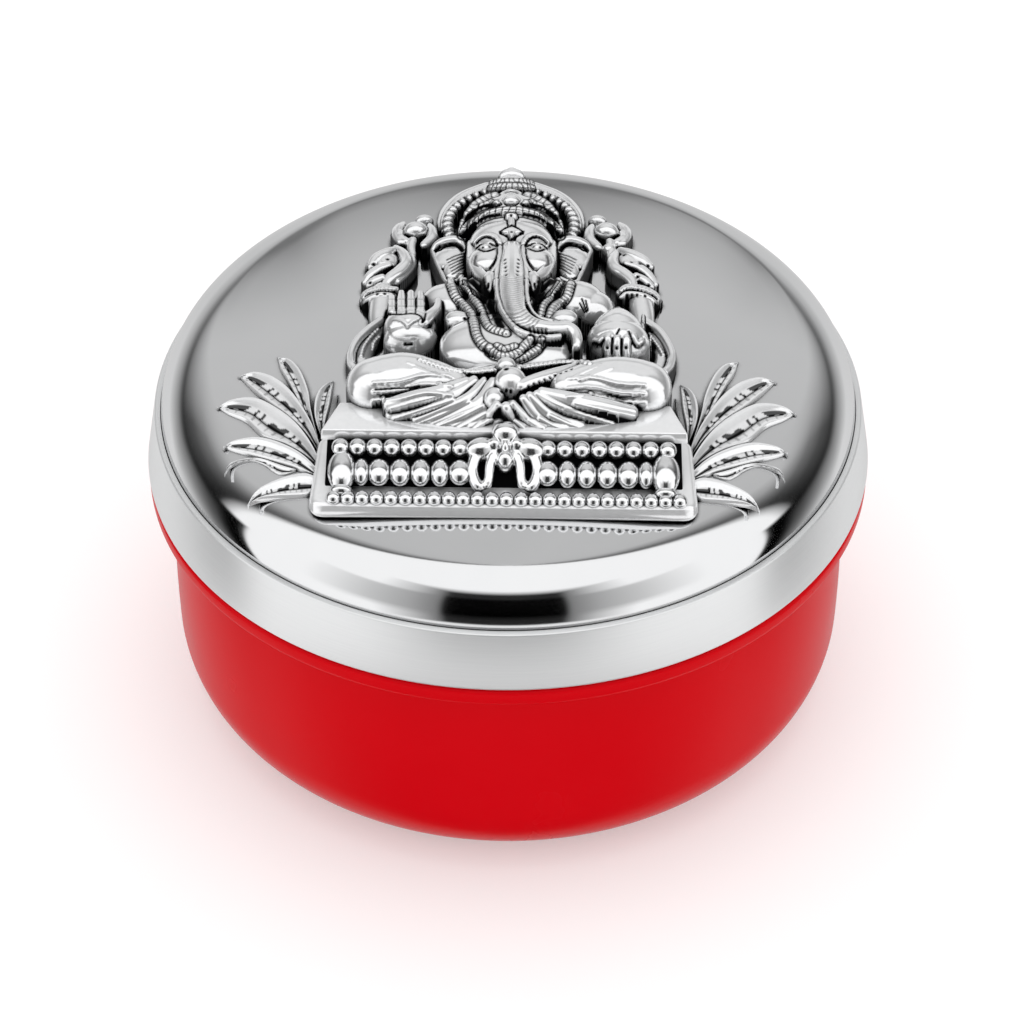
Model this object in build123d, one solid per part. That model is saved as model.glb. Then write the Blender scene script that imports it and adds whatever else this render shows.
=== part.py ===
from build123d import *
import math
import os

os.makedirs("parts", exist_ok=True)

# Kumkum box: a red moulded bowl under a polished metal lid that carries a seated figure in high relief.
# Millimetres, +Z up, origin at the middle of the foot, the figure's front towards -Y.

# Bowl
NECK_RADIUS = 31.4        # outside of the neck that the lid slides over
NECK_HEIGHT = 5.2         # neck above the ledge
NECK_WALL = 1.5
BOWL_HEIGHT = 24.3        # foot to the underside of the ledge
BOWL_FLOOR = 2.2
BORE_DRAFT = 1.2          # how much narrower the inside is at the floor than at the mouth
BORE_CORNER = 6.0
WALL_TAPER = 1.9          # how far the outside leans in between the ledge and the foot
FOOT_CORNER = 8.0
FOOT_RING = 3.0           # width of the ring that the box stands on
FOOT_RECESS = 0.5
LEDGE_HEIGHT = 1.8
LEDGE_OVERHANG = 1.4
LEDGE_SETBACK = 0.1       # the ledge stops this far inside the lid's band
LEDGE_EDGE = 0.5
NECK_EDGE = 0.3

# Lid, a domed sheet in a band, with a grip ring pressed into it
LID_GAP = 0.2             # open line between the ledge and the band
GRIP_CLEARANCE = 0.15     # between the neck and the grip ring
GRIP_WALL = 1.2
GRIP_SETBACK = 0.8        # grip ring's lower end above the band's lower edge
STOP_LIP = 0.7            # thickness of the lip that rests on the neck
STOP_REACH = 1.1          # how far the lip reaches in over the neck
SEAT_GAP = 0.05           # solder or glue line between pieces of the lid
SHEET = 0.6
COLLAR_HEIGHT = 4.0       # straight edge of the dome inside the band
BAND_WALL = 0.6
BAND_FLARE = 0.95         # the band is this much wider at its lower edge
BAND_EDGE = 0.25
SHOULDER = 5.6            # radius of the dome's rounded shoulder
SHOULDER_DROP = 0.3       # the shoulder starts this far below the band's upper edge
CROWN_RISE = 1.5          # height of the nearly flat crown above the shoulder

# Relief field: the ornament is drawn for this radius and fills the field that the dome gives it
DRAWN_RADIUS = 30.0
FIELD_MARGIN = 3.4        # plain edge between the field and the dome's collar
SINK = 3.0                # relief solids start this far below the crown before the dome trims them

# Pedestal, with a front face that leans back
PEDESTAL_FRONT = -24.9
PEDESTAL_BACK = -13.4
SLAB_HALF_WIDTH = 17.6
SLAB_HEIGHT = 1.2
SLAB_CORNER = 2.2
SLAB_STEP = 0.7           # from the slab's front edge to the foot of the leaning face
BLOCK_HALF_WIDTH = 16.0
FACE_TOP = -19.9          # where the leaning face meets the top moulding
FACE_TOP_HEIGHT = 4.5
TOP_HEIGHT = 5.2
TOP_LIP = 0.45            # top moulding stands proud of the face
TOP_HALF_WIDTH = 16.4
TOP_TAPER = 1.3           # the top is narrower at the back, on each side
BEAD_UPPER = 0.69
BEAD_LOWER = 0.58
BEAD_PITCH_UPPER = 1.42
BEAD_PITCH_LOWER = 1.32
BALUSTER = (0.82, 1.15, 0.8)
BALUSTER_PITCH = 1.85
POST_RADIUS = 1.2
POST_NECK = 0.85
POST_X = 14.9
POST_SHARE = 0.44         # length of a corner post as a share of the leaning face
KNOT_HALF_WIDTH = 3.3     # bead rows stop here, on both sides of the flower knot

# Radii from the neck outwards
grip_bore = NECK_RADIUS + GRIP_CLEARANCE
grip_outer = grip_bore + GRIP_WALL
collar_inner = grip_outer + SEAT_GAP
collar_outer = collar_inner + SHEET
band_inner = collar_outer + SEAT_GAP
band_top_radius = band_inner + BAND_WALL
band_foot_radius = band_top_radius + BAND_FLARE
ledge_radius = band_foot_radius - LEDGE_SETBACK
wall_radius = ledge_radius - LEDGE_OVERHANG
bore_radius = NECK_RADIUS - NECK_WALL

# Heights from the foot upwards
ledge_top = BOWL_HEIGHT + LEDGE_HEIGHT
neck_top = ledge_top + NECK_HEIGHT
band_foot = ledge_top + LID_GAP
shoulder_z = neck_top + STOP_LIP
band_top = shoulder_z + SHOULDER_DROP

# Crown: a shallow ball surface that meets the shoulder without a crease
shoulder_x = collar_outer - SHOULDER
crown_lean = 2.0 * math.atan(CROWN_RISE / shoulder_x)
crown_edge = shoulder_x + SHOULDER * math.sin(crown_lean)
crown_edge_z = shoulder_z + SHOULDER * math.cos(crown_lean)
crown_radius = crown_edge / math.sin(crown_lean)
crown_centre = crown_edge_z - crown_radius * math.cos(crown_lean)
field_scale = (collar_outer - FIELD_MARGIN) / DRAWN_RADIUS


def crown_z(x, y):
    """Height of the crown above the foot at a place in plan."""
    return crown_centre + math.sqrt(crown_radius ** 2 - x ** 2 - y ** 2)


def turned(face):
    """Solid of revolution of a half profile drawn in the XZ plane."""
    return revolve(face, Axis.Z)


def half_profile(*edges):
    """Face inside a closed chain of edges in the XZ plane, X outwards and Z up."""
    return Plane.XZ * make_face(edges)


# Bowl
def make_bowl():
    foot_radius = wall_radius - WALL_TAPER
    outer = make_face([
        Line((0, 0), (foot_radius, 0)),
        ThreePointArc((foot_radius, 0), (wall_radius - WALL_TAPER / 4, BOWL_HEIGHT / 2), (wall_radius, BOWL_HEIGHT)),
        Line((wall_radius, BOWL_HEIGHT), (0, BOWL_HEIGHT)),
        Line((0, BOWL_HEIGHT), (0, 0)),
    ])
    corner = outer.vertices().filter_by(lambda v: v.Y < 0.01 and v.X > 0.01)
    outer = fillet(corner, FOOT_CORNER)
    bowl = turned(Plane.XZ * outer)

    ledge_mid = BOWL_HEIGHT + LEDGE_HEIGHT / 2
    ledge = Pos(0, 0, ledge_mid) * Cylinder(ledge_radius, LEDGE_HEIGHT)
    ledge = fillet(ledge.edges().filter_by(GeomType.CIRCLE), LEDGE_EDGE)
    neck = Pos(0, 0, ledge_top + NECK_HEIGHT / 2) * Cylinder(NECK_RADIUS, NECK_HEIGHT)

    bore_floor = bore_radius - BORE_DRAFT
    bore = make_face([
        Line((0, BOWL_FLOOR), (bore_floor, BOWL_FLOOR)),
        Line((bore_floor, BOWL_FLOOR), (bore_radius, neck_top)),
        Line((bore_radius, neck_top), (0, neck_top)),
        Line((0, neck_top), (0, BOWL_FLOOR)),
    ])
    corner = bore.vertices().filter_by(lambda v: v.Y < BOWL_FLOOR + 0.01 and v.X > 0.01)
    bore = fillet(corner, BORE_CORNER)
    bowl = bowl + ledge + neck - turned(Plane.XZ * bore)
    lip = bowl.edges().filter_by(GeomType.CIRCLE).group_by(Axis.Z)[-1].sort_by(lambda e: e.radius)[-1]
    bowl = fillet(lip, NECK_EDGE)

    flat_radius = bowl.faces().sort_by(Axis.Z)[0].edges().sort_by(lambda e: e.radius)[-1].radius
    recess = Pos(0, 0, FOOT_RECESS / 2) * Cylinder(flat_radius - FOOT_RING, FOOT_RECESS)
    return bowl - recess


# Lid
def make_band():
    band = turned(half_profile(
        Line((band_inner, band_foot), (band_foot_radius, band_foot)),
        Line((band_foot_radius, band_foot), (band_top_radius, band_top)),
        Line((band_top_radius, band_top), (band_inner, band_top)),
        Line((band_inner, band_top), (band_inner, band_foot)),
    ))
    outer_edges = band.edges().filter_by(GeomType.CIRCLE).sort_by(lambda e: e.radius)[2:]
    return fillet(outer_edges, BAND_EDGE)


def dome_curve(inset):
    """Collar, shoulder and crown of the dome, pushed in by a thickness."""
    collar = collar_outer - inset
    shoulder = SHOULDER - inset
    half = (math.pi / 2 - crown_lean) / 2
    start = (collar, shoulder_z)
    bend = (shoulder_x + shoulder * math.cos(half), shoulder_z + shoulder * math.sin(half))
    edge = (shoulder_x + shoulder * math.sin(crown_lean), shoulder_z + shoulder * math.cos(crown_lean))
    ball = crown_radius - inset
    middle = (ball * math.sin(crown_lean / 2), crown_centre + ball * math.cos(crown_lean / 2))
    top = (0, crown_centre + ball)
    return [ThreePointArc(start, bend, edge), ThreePointArc(edge, middle, top)]


def make_dome():
    foot = band_top - COLLAR_HEIGHT
    top = crown_centre + crown_radius
    return turned(half_profile(
        Line((collar_inner, foot), (collar_outer, foot)),
        Line((collar_outer, foot), (collar_outer, shoulder_z)),
        *dome_curve(0),
        Line((0, top), (0, top - SHEET)),
        *dome_curve(SHEET),
        Line((collar_inner, shoulder_z), (collar_inner, foot)),
    ))


def make_dome_envelope():
    """Everything under the dome's outer skin, used to seat the relief on it."""
    top = crown_centre + crown_radius
    return turned(half_profile(
        Line((0, 0), (collar_outer, 0)),
        Line((collar_outer, 0), (collar_outer, shoulder_z)),
        *dome_curve(0),
        Line((0, top), (0, 0)),
    ))


def make_grip_ring():
    foot = band_foot + GRIP_SETBACK
    lip_radius = NECK_RADIUS - STOP_REACH
    return turned(half_profile(
        Line((grip_bore, foot), (grip_outer, foot)),
        Line((grip_outer, foot), (grip_outer, shoulder_z)),
        Line((grip_outer, shoulder_z), (lip_radius, shoulder_z)),
        Line((lip_radius, shoulder_z), (lip_radius, neck_top)),
        Line((lip_radius, neck_top), (grip_bore, neck_top)),
        Line((grip_bore, neck_top), (grip_bore, foot)),
    ))


# Relief forms: x, y in plan, height of the top above the crown, then three half-sizes
HEAD = (0.0, 8.0, 6.2, 4.4, 4.8, 5.2)
BROW = (0.0, 10.6, 5.9, 3.6, 2.6, 3.5)
CHEEK = (2.7, 5.2, 5.2, 1.7, 2.2, 3.0)
EAR = (6.0, 8.3, 3.6, 2.0, 3.5, 3.0)
EAR_TOP = (5.6, 10.9, 3.9, 1.9, 1.0, 2.6)
TURBAN = (0.0, 15.6, 5.2, 4.8, 5.4, 4.6)
CROWN_TIER = (0.0, 21.2, 4.0, 2.4, 1.8, 3.0)
FINIAL = (0.0, 23.9, 3.3, 1.3, 1.7, 2.6)
CREST_JEWEL = (0.0, 16.4, 6.0, 1.0, 1.3, 1.6)
TUSK = (2.15, 2.6, 5.6, 0.65, 1.9, 1.5)
CHEST = (0.0, -2.2, 5.0, 6.4, 5.2, 5.2)
BELLY = (-0.3, -8.4, 6.3, 6.2, 4.8, 6.0)
SHOULDER_CAP = (7.2, 1.2, 4.1, 2.7, 2.6, 3.6)
PALM = (-9.2, -5.0, 5.5, 2.4, 3.2, 3.6)
THUMB = (-6.8, -2.6, 4.9, 0.65, 1.7, 1.6)
SWEET = (10.3, -5.6, 6.1, 2.8, 3.0, 4.6)
SWEET_TIP = (10.5, -2.3, 5.2, 1.3, 2.2, 3.2)
REAR_HAND = (11.7, 7.6, 3.3, 1.9, 2.6, 2.6)
BRACELET = (12.3, 3.6, 3.3, 2.1, 0.9, 2.4)
LOTUS_BUD = (9.4, 14.3, 3.2, 1.2, 1.7, 2.4)
LOTUS_PETAL = (1.5, 13.7, 2.6, 0.9, 2.0, 2.0)
THIGH = (8.4, -13.0, 6.0, 6.8, 4.3, 5.6)
KNEE = (12.2, -12.2, 5.6, 3.0, 3.1, 4.8)
SHIN = (4.6, -13.6, 7.0, 4.4, 1.2, 2.4)
LAP = (0.0, -14.4, 6.3, 4.6, 4.2, 5.4)
FOOT = (1.8, -17.7, 6.0, 2.6, 1.5, 2.2)
SASH_KNOT = (0.2, -15.3, 7.5, 1.3, 1.3, 2.6)
BUCKLE = (-0.1, -11.9, 6.9, 0.9, 0.9, 1.6)

# Trunk: x, y, height of the middle above the crown, radius
TRUNK = [
    (0.2, 6.2, 4.9, 1.00), (0.2, 2.6, 5.5, 1.15), (0.3, -0.8, 6.0, 1.30), (0.6, -4.0, 6.2, 1.30),
    (1.5, -6.6, 6.3, 1.15), (3.4, -7.9, 6.2, 0.95), (5.2, -7.6, 5.9, 0.80), (6.4, -7.9, 5.4, 0.70), (6.7, -9.0, 4.8, 0.65),
]
# Arms from the shoulder to the wrist, right side of the drawing
REAR_ARM = [(7.4, 0.9, 2.2, 1.5), (10.2, -0.6, 1.8, 1.4), (12.3, 1.2, 1.6, 1.2), (12.3, 5.6, 1.9, 1.2)]
FRONT_ARM = [(7.0, 0.0, 2.6, 1.9), (8.4, -3.0, 2.8, 1.9), (9.2, -6.2, 3.2, 1.7)]
LOTUS_STEM = [(11.2, 8.4, 1.6, 0.9), (10.4, 11.2, 1.5, 0.7), (9.6, 13.4, 1.4, 0.8)]

FINGERS = 4
FINGER = (-9.5, -0.8, 5.3, 0.52, 2.5, 1.5)
FINGER_PITCH = 0.98
FOLDS = 5
FOLD_LENGTH = 3.6
FOLD_WIDTH = 0.62
FOLD_CENTRE = (0.6, -13.2)
FOLD_REACH = 5.6
FOLD_FIRST = 20.0
FOLD_STEP = 13.0
FOLD_TOP = 6.1
SASH_RADIUS = 0.55
SASH_LOOP = [(12.6, 0.2), (15.3, -4.6), (13.6, -10.4)]

# Halo arch behind the crown
HALO_CENTRE = 14.6
HALO_HALF_WIDTH = 6.9
HALO_REACH = 8.6
HALO_BAND = 1.5
HALO_HEIGHT = 1.2
HALO_FOOT = 12.4
HALO_BEADS = 10           # on each side
HALO_BEAD = 0.42

# Leaves: base, tip, bulge of the upper and of the lower edge, height; right side of the drawing
LEAVES = [
    ((17.2, -14.8), (16.6, -6.4), 1.4, 1.4, 1.5),
    ((18.3, -11.0), (21.8, -2.6), 2.4, 0.5, 1.5),
    ((17.4, -15.2), (25.4, -4.9), 3.0, -0.2, 1.8),
    ((17.0, -18.6), (27.1, -9.2), 3.4, -0.4, 2.1),
    ((17.0, -20.6), (26.2, -14.7), 2.3, -0.6, 1.9),
    ((18.2, -19.9), (25.6, -18.6), 1.3, 0.4, 0.9),
    ((17.0, -21.6), (23.6, -22.4), 1.7, -0.8, 1.5),
]
LEAF_RIDGE = 0.35         # ridge as a share of the leaf's outline
LEAF_EDGE = 0.45          # height of the leaf's edge as a share of its ridge
LEAF_ROOT_HEIGHT = 1.3


SEAM_SIDE = (0.3, 0.0, -1.0)   # limbs close along their hidden underside


def egg(form, side=1, turn=0.0):
    """One rounded form of the relief, on the right (1) or the left (-1)."""
    x, y, top, rx, ry, rz = [value * field_scale for value in form]
    x = x * side
    middle = Location((x, y, crown_z(x, y) + top - rz), (0, 0, turn * side))
    return middle * scale(Sphere(1.0), by=(rx, ry, rz))


def limb(stations, side=1, ringed=False):
    """A limb that swells and tapers through round sections, with a crease at each if it is ringed."""
    points = []
    for x, y, height, _ in stations:
        x, y, height = side * x * field_scale, y * field_scale, height * field_scale
        points.append(Vector(x, y, crown_z(x, y) + height))
    sections = []
    for index, station in enumerate(stations):
        ahead = points[min(index + 1, len(points) - 1)]
        behind = points[max(index - 1, 0)]
        plane = Plane(origin=points[index], z_dir=ahead - behind, x_dir=SEAM_SIDE)
        sections.append(plane * Circle(station[3] * field_scale))
    return loft(sections, ruled=ringed)


def make_pedestal():
    ground = crown_z(0, PEDESTAL_FRONT * field_scale)
    depth = PEDESTAL_BACK - PEDESTAL_FRONT
    slab = Pos(0, PEDESTAL_FRONT + depth / 2, SLAB_HEIGHT / 2 - SINK / 2)
    slab = slab * Box(2 * SLAB_HALF_WIDTH, depth, SLAB_HEIGHT + SINK)
    slab = fillet(slab.edges().filter_by(Axis.Z).group_by(Axis.Y)[0], SLAB_CORNER)
    slab = fillet(slab.faces().sort_by(Axis.Z)[-1].edges(), SLAB_HEIGHT / 3)

    foot = PEDESTAL_FRONT + SLAB_STEP
    block = Plane.YZ * Polygon(
        (foot, -SINK), (foot, SLAB_HEIGHT), (FACE_TOP, FACE_TOP_HEIGHT), (PEDESTAL_BACK, FACE_TOP_HEIGHT),
        (PEDESTAL_BACK, -SINK), align=None)
    block = extrude(block, BLOCK_HALF_WIDTH, both=True)

    front = FACE_TOP - TOP_LIP
    back_half = TOP_HALF_WIDTH - TOP_TAPER
    top = Polygon((-TOP_HALF_WIDTH, front), (TOP_HALF_WIDTH, front), (back_half, PEDESTAL_BACK),
                  (-back_half, PEDESTAL_BACK), align=None)
    top = Pos(0, 0, FACE_TOP_HEIGHT) * extrude(top, TOP_HEIGHT - FACE_TOP_HEIGHT)
    top = fillet(top.faces().sort_by(Axis.Z)[-1].edges(), (TOP_HEIGHT - FACE_TOP_HEIGHT) / 2)
    pedestal = scale(slab + block + top, by=field_scale)
    return Pos(0, 0, ground) * pedestal


def face_place(x, share, lift=0.0):
    """A place on the leaning face: share 0 is its foot and 1 is under the top moulding."""
    foot = PEDESTAL_FRONT + SLAB_STEP
    run = FACE_TOP - foot
    rise = FACE_TOP_HEIGHT - SLAB_HEIGHT
    lean = math.degrees(math.atan2(rise, run))
    normal = Vector(0, -rise, run).normalized()
    place = Vector(x, foot + share * run, SLAB_HEIGHT + share * rise) + normal * lift
    ground = Vector(0, 0, crown_z(0, PEDESTAL_FRONT * field_scale))
    return Location(place * field_scale + ground, (lean, 0, 0))


def row_places(first, last, pitch):
    """Evenly spaced places between two ends, near a pitch."""
    count = max(2, round((last - first) / pitch) + 1)
    return [first + (last - first) * index / (count - 1) for index in range(count)]


def make_upper_beads(cutter):
    places = row_places(KNOT_HALF_WIDTH + BEAD_UPPER, BLOCK_HALF_WIDTH - BEAD_UPPER, BEAD_PITCH_UPPER)
    share = 1.0 - BEAD_UPPER / (FACE_TOP - PEDESTAL_FRONT)
    beads = [face_place(side * x, share) * Sphere(BEAD_UPPER * field_scale) for x in places for side in (-1, 1)]
    return Compound([solid for bead in beads for solid in (bead - cutter).solids()])


def make_lower_beads(cutter):
    half = BLOCK_HALF_WIDTH - BEAD_LOWER
    share = BEAD_LOWER / (FACE_TOP - PEDESTAL_FRONT)
    beads = [face_place(x, share) * Sphere(BEAD_LOWER * field_scale) for x in row_places(-half, half, BEAD_PITCH_LOWER)]
    return Compound([solid for bead in beads for solid in (bead - cutter).solids()])


def make_balusters(cutter):
    shape = scale(Sphere(1.0), by=tuple(size * field_scale for size in BALUSTER))
    last = POST_X - POST_RADIUS - BALUSTER[0]
    places = row_places(KNOT_HALF_WIDTH + BALUSTER[0], last, BALUSTER_PITCH)
    balusters = [face_place(side * x, 0.5) * shape for x in places for side in (-1, 1)]
    return Compound([solid for baluster in balusters for solid in (baluster - cutter).solids()])


def make_posts(cutter):
    foot = PEDESTAL_FRONT + SLAB_STEP
    length = math.hypot(FACE_TOP - foot, FACE_TOP_HEIGHT - SLAB_HEIGHT) * POST_SHARE
    barrel = make_face([
        Line((0, -length / 2), (POST_NECK, -length / 2)),
        ThreePointArc((POST_NECK, -length / 2), (POST_RADIUS, 0), (POST_NECK, length / 2)),
        Line((POST_NECK, length / 2), (0, length / 2)),
        Line((0, length / 2), (0, -length / 2)),
    ])
    post = scale(revolve(barrel, Axis.Y), by=field_scale)
    posts = [face_place(side * POST_X, 0.5) * post for side in (-1, 1)]
    return Compound([solid for post in posts for solid in (post - cutter).solids()])


def make_flower_knot(cutter):
    ball = face_place(0, 0.99, 0.5) * Sphere(0.95 * field_scale)
    heart = face_place(0, 0.58, 0.8) * Sphere(0.8 * field_scale)
    petal = scale(Sphere(1.0), by=(1.35 * field_scale, 0.8 * field_scale, 0.9 * field_scale))
    loop = scale(Sphere(1.0), by=(0.6 * field_scale, 1.35 * field_scale, 0.9 * field_scale))
    forms = [heart]
    forms += [face_place(side * 1.7, 0.82, 0.3) * Rot(0, 0, -20 * side) * petal for side in (-1, 1)]
    forms += [face_place(side * x, 0.46, 0.2) * Rot(0, 0, 14 * side) * loop for x in (1.2, 2.2) for side in (-1, 1)]
    return ball.fuse(*forms) - cutter


def sash_loop(side):
    points = []
    for x, y in SASH_LOOP:
        x, y = side * x * field_scale, y * field_scale
        points.append(Vector(x, y, crown_z(x, y) + SASH_RADIUS * field_scale))
    path = ThreePointArc(*points)
    return sweep(Plane(path @ 0, z_dir=path % 0) * Circle(SASH_RADIUS * field_scale), path)


def leg_folds(side):
    """Folds of the cloth, fanning out over a leg from the knot in the middle."""
    forms = []
    for index in range(FOLDS):
        angle = math.radians(-(FOLD_FIRST + FOLD_STEP * index) + 35.0)
        x = FOLD_CENTRE[0] + FOLD_REACH * math.cos(angle)
        y = FOLD_CENTRE[1] + FOLD_REACH * math.sin(angle)
        form = (x, y, FOLD_TOP, FOLD_LENGTH, FOLD_WIDTH, 1.6)
        forms.append(egg(form, side, math.degrees(angle)))
    return forms


def joined(forms):
    """One solid out of overlapping forms."""
    return forms[0].fuse(*forms[1:])


def grown(forms):
    """One solid, grown by one large form after the other."""
    solid = forms[0]
    for form in forms[1:]:
        solid = solid + form
    return solid


def make_head():
    forms = [egg(form) for form in (HEAD, BROW, TURBAN, CROWN_TIER, FINIAL, CREST_JEWEL)]
    forms += [egg(form, side) for form in (CHEEK, EAR, EAR_TOP, TUSK) for side in (-1, 1)]
    return joined(forms)


def make_torso():
    forms = [egg(form) for form in (CHEST, BELLY, BUCKLE)]
    forms += [egg(SHOULDER_CAP, side) for side in (-1, 1)]
    forms += [limb(FRONT_ARM, side) for side in (-1, 1)]
    return joined(forms)


def make_rear_arm(side):
    forms = [limb(REAR_ARM, side), limb(LOTUS_STEM, side), sash_loop(side)]
    forms += [egg(form, side) for form in (REAR_HAND, BRACELET, LOTUS_BUD)]
    for step in (-1, 1):
        petal = (LOTUS_BUD[0] + step * LOTUS_PETAL[0], *LOTUS_PETAL[1:])
        forms.append(egg(petal, side, -24.0 * step))
    return joined(forms)


def make_blessing_hand():
    forms = [egg(PALM), egg(THUMB)]
    for index in range(FINGERS):
        x = FINGER[0] + (index - (FINGERS - 1) / 2) * FINGER_PITCH
        forms.append(egg((x, *FINGER[1:])))
    return joined(forms)


def make_legs():
    forms = [egg(form) for form in (LAP, SHIN, FOOT, SASH_KNOT)]
    for side in (-1, 1):
        forms += [egg(THIGH, side), egg(KNEE, side)]
        forms += leg_folds(side)
    return joined(forms)


def make_figure(cutter):
    parts = [make_torso(), make_head(), make_legs(), make_blessing_hand()]
    rear_arm = make_rear_arm(-1)
    parts += [rear_arm, mirror(rear_arm, about=Plane.YZ)]
    parts.append(joined([egg(SWEET), egg(SWEET_TIP)]))
    parts.append(limb(TRUNK, ringed=True))
    return grown(parts) - cutter


def make_halo(cutter):
    outer = Pos(0, HALO_CENTRE) * Ellipse(HALO_HALF_WIDTH, HALO_REACH)
    inner = Pos(0, HALO_CENTRE) * Ellipse(HALO_HALF_WIDTH - HALO_BAND, HALO_REACH - HALO_BAND)
    below = Pos(0, HALO_FOOT - HALO_REACH) * Rectangle(4 * HALO_HALF_WIDTH, 2 * HALO_REACH)
    band = extrude(outer - inner - below, HALO_HEIGHT + SINK)
    ground = crown_z(0, (HALO_CENTRE + HALO_REACH) * field_scale)
    halo = Pos(0, 0, ground - SINK * field_scale) * scale(band, by=field_scale)
    middle = HALO_BAND / 2
    beads = []
    for index in range(HALO_BEADS):
        angle = math.radians(-8.0 + 78.0 * index / (HALO_BEADS - 1))
        x = (HALO_HALF_WIDTH - middle) * math.cos(angle) * field_scale
        y = (HALO_CENTRE + (HALO_REACH - middle) * math.sin(angle)) * field_scale
        beads += [Pos(side * x, y, ground + HALO_HEIGHT * field_scale) * Sphere(HALO_BEAD * field_scale) for side in (-1, 1)]
    return halo.fuse(*beads) - cutter


def leaf(base, tip, upper, lower, height, side):
    """A blade between two arcs, rising to a ridge along its middle."""
    ends = [Vector(side * x, y) * field_scale for x, y in (base, tip)]
    along = (ends[1] - ends[0]).normalized()
    across = Vector(-along.Y, along.X) * side
    middle = (ends[0] + ends[1]) * 0.5

    def outline(share, z):
        core = middle + across * (upper - lower) * 0.5 * field_scale * (1 - share)
        ridge = [core + (end - core) * share for end in ends]
        mid = (ridge[0] + ridge[1]) * 0.5
        top = mid + across * upper * field_scale * share
        bottom = mid - across * lower * field_scale * share
        face = make_face([ThreePointArc(ridge[0], top, ridge[1]), ThreePointArc(ridge[1], bottom, ridge[0])])
        return Pos(0, 0, z) * face

    ground = min(crown_z(end.X, end.Y) for end in ends)
    edge = ground + height * LEAF_EDGE * field_scale
    blade = extrude(outline(1.0, ground - SINK * field_scale), SINK * field_scale + height * LEAF_EDGE * field_scale)
    return blade + loft([outline(1.0, edge), outline(LEAF_RIDGE, ground + height * field_scale)])


def make_leaf_spray(side, cutter):
    blades = [leaf(*blade, side) for blade in LEAVES]
    root = egg((SLAB_HALF_WIDTH, -19.6, LEAF_ROOT_HEIGHT, 1.6, 3.4, 2.4), side)
    spine = egg((TOP_HALF_WIDTH + 0.4, -14.6, LEAF_ROOT_HEIGHT, 1.6, 4.6, 2.4), side)
    return root.fuse(spine, *blades) - cutter


def main():
    envelope = make_dome_envelope()
    pedestal = make_pedestal() - envelope
    seat = envelope + pedestal
    halo = make_halo(envelope)
    figure = make_figure(seat + halo)
    nodes = {
        "bowl": make_bowl(),
        "lid_band": make_band(),
        "lid_dome": make_dome(),
        "grip_ring": make_grip_ring(),
        "pedestal": pedestal,
        "corner_posts": make_posts(seat),
        "upper_beads": make_upper_beads(seat),
        "baluster_row": make_balusters(seat),
        "lower_beads": make_lower_beads(seat),
        "flower_knot": make_flower_knot(seat + figure),
        "seated_figure": figure,
        "halo": halo,
        "leaf_spray_left": make_leaf_spray(-1, seat + figure),
        "leaf_spray_right": make_leaf_spray(1, seat + figure),
    }
    for name, shape in nodes.items():
        export_step(shape, f"parts/{name}.step")


main()
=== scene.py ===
# %% [markdown]
# # A kumkum box with a relief lid
# The box is a red moulded bowl under a polished metal lid, and the lid carries a seated elephant-headed
# figure cast in high relief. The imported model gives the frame: every size and place below is in its
# millimetres, so a piece that is modelled here sits where the solid sits and needs no fitting.

# %% Frame and tools
import math

import bpy
import numpy as np
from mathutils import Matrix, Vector


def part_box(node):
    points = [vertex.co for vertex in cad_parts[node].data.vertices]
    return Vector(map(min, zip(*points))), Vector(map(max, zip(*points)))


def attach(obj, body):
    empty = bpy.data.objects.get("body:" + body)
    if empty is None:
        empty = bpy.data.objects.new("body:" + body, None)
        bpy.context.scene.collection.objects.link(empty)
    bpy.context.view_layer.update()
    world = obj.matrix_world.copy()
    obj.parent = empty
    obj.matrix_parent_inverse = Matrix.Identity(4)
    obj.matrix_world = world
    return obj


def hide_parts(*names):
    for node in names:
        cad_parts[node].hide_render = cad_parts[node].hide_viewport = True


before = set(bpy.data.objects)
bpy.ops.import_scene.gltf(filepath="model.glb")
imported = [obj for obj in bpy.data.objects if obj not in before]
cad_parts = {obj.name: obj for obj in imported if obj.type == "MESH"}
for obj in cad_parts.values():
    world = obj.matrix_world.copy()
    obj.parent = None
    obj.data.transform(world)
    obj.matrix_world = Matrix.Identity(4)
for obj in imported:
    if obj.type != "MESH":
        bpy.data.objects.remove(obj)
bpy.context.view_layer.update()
MM = 0.001                # the scene is in metres, the sizes below are in millimetres

# %% [markdown]
# ## Camera
# The camera stands where the photograph was taken from, about 41 degrees above the table, and comes first
# because small ornament is placed by where it is seen: a ray through a picture point lands on a casting.

# %% Camera
EYE = (0.00499, -0.26421, 0.24681)
EYE_BACK = (0.01318, -0.75492, 0.65566)     # from what is looked at towards the eye
LENS, SENSOR = 124.07, 36.0
bpy.ops.object.camera_add(location=EYE)
camera = bpy.context.object
back = Vector(EYE_BACK).normalized()
camera.rotation_euler = back.to_track_quat("Z", "Y").to_euler()
camera.data.lens = LENS
camera.data.sensor_width = SENSOR
bpy.context.scene.camera = camera
bpy.context.scene.view_settings.view_transform = "Standard"
print("camera", [round(c, 4) for c in camera.location])

# %% [markdown]
# ## The lid's crown
# Everything on the lid is placed by its plan (x, y) and a height above the crown, because that is how a
# relief is drawn. The crown is a very shallow ball surface, so one small function gives its height.

# %% Crown
BOWL_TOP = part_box("bowl")[1].z / MM
LID_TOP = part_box("lid_dome")[1].z / MM
COLLAR = 33.4             # outside of the dome's straight collar
SHOULDER = 5.6            # radius of the rounded shoulder
CROWN_RISE = 1.5
SHEET = 0.6               # thickness of the pressed sheet
LIP = 0.7                 # thickness of the grip ring's lip, which rests on the bowl's rim
shoulder_x = COLLAR - SHOULDER
shoulder_z = BOWL_TOP + LIP
crown_lean = 2.0 * math.atan(CROWN_RISE / shoulder_x)
crown_ball = (shoulder_x + SHOULDER * math.sin(crown_lean)) / math.sin(crown_lean)


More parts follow.
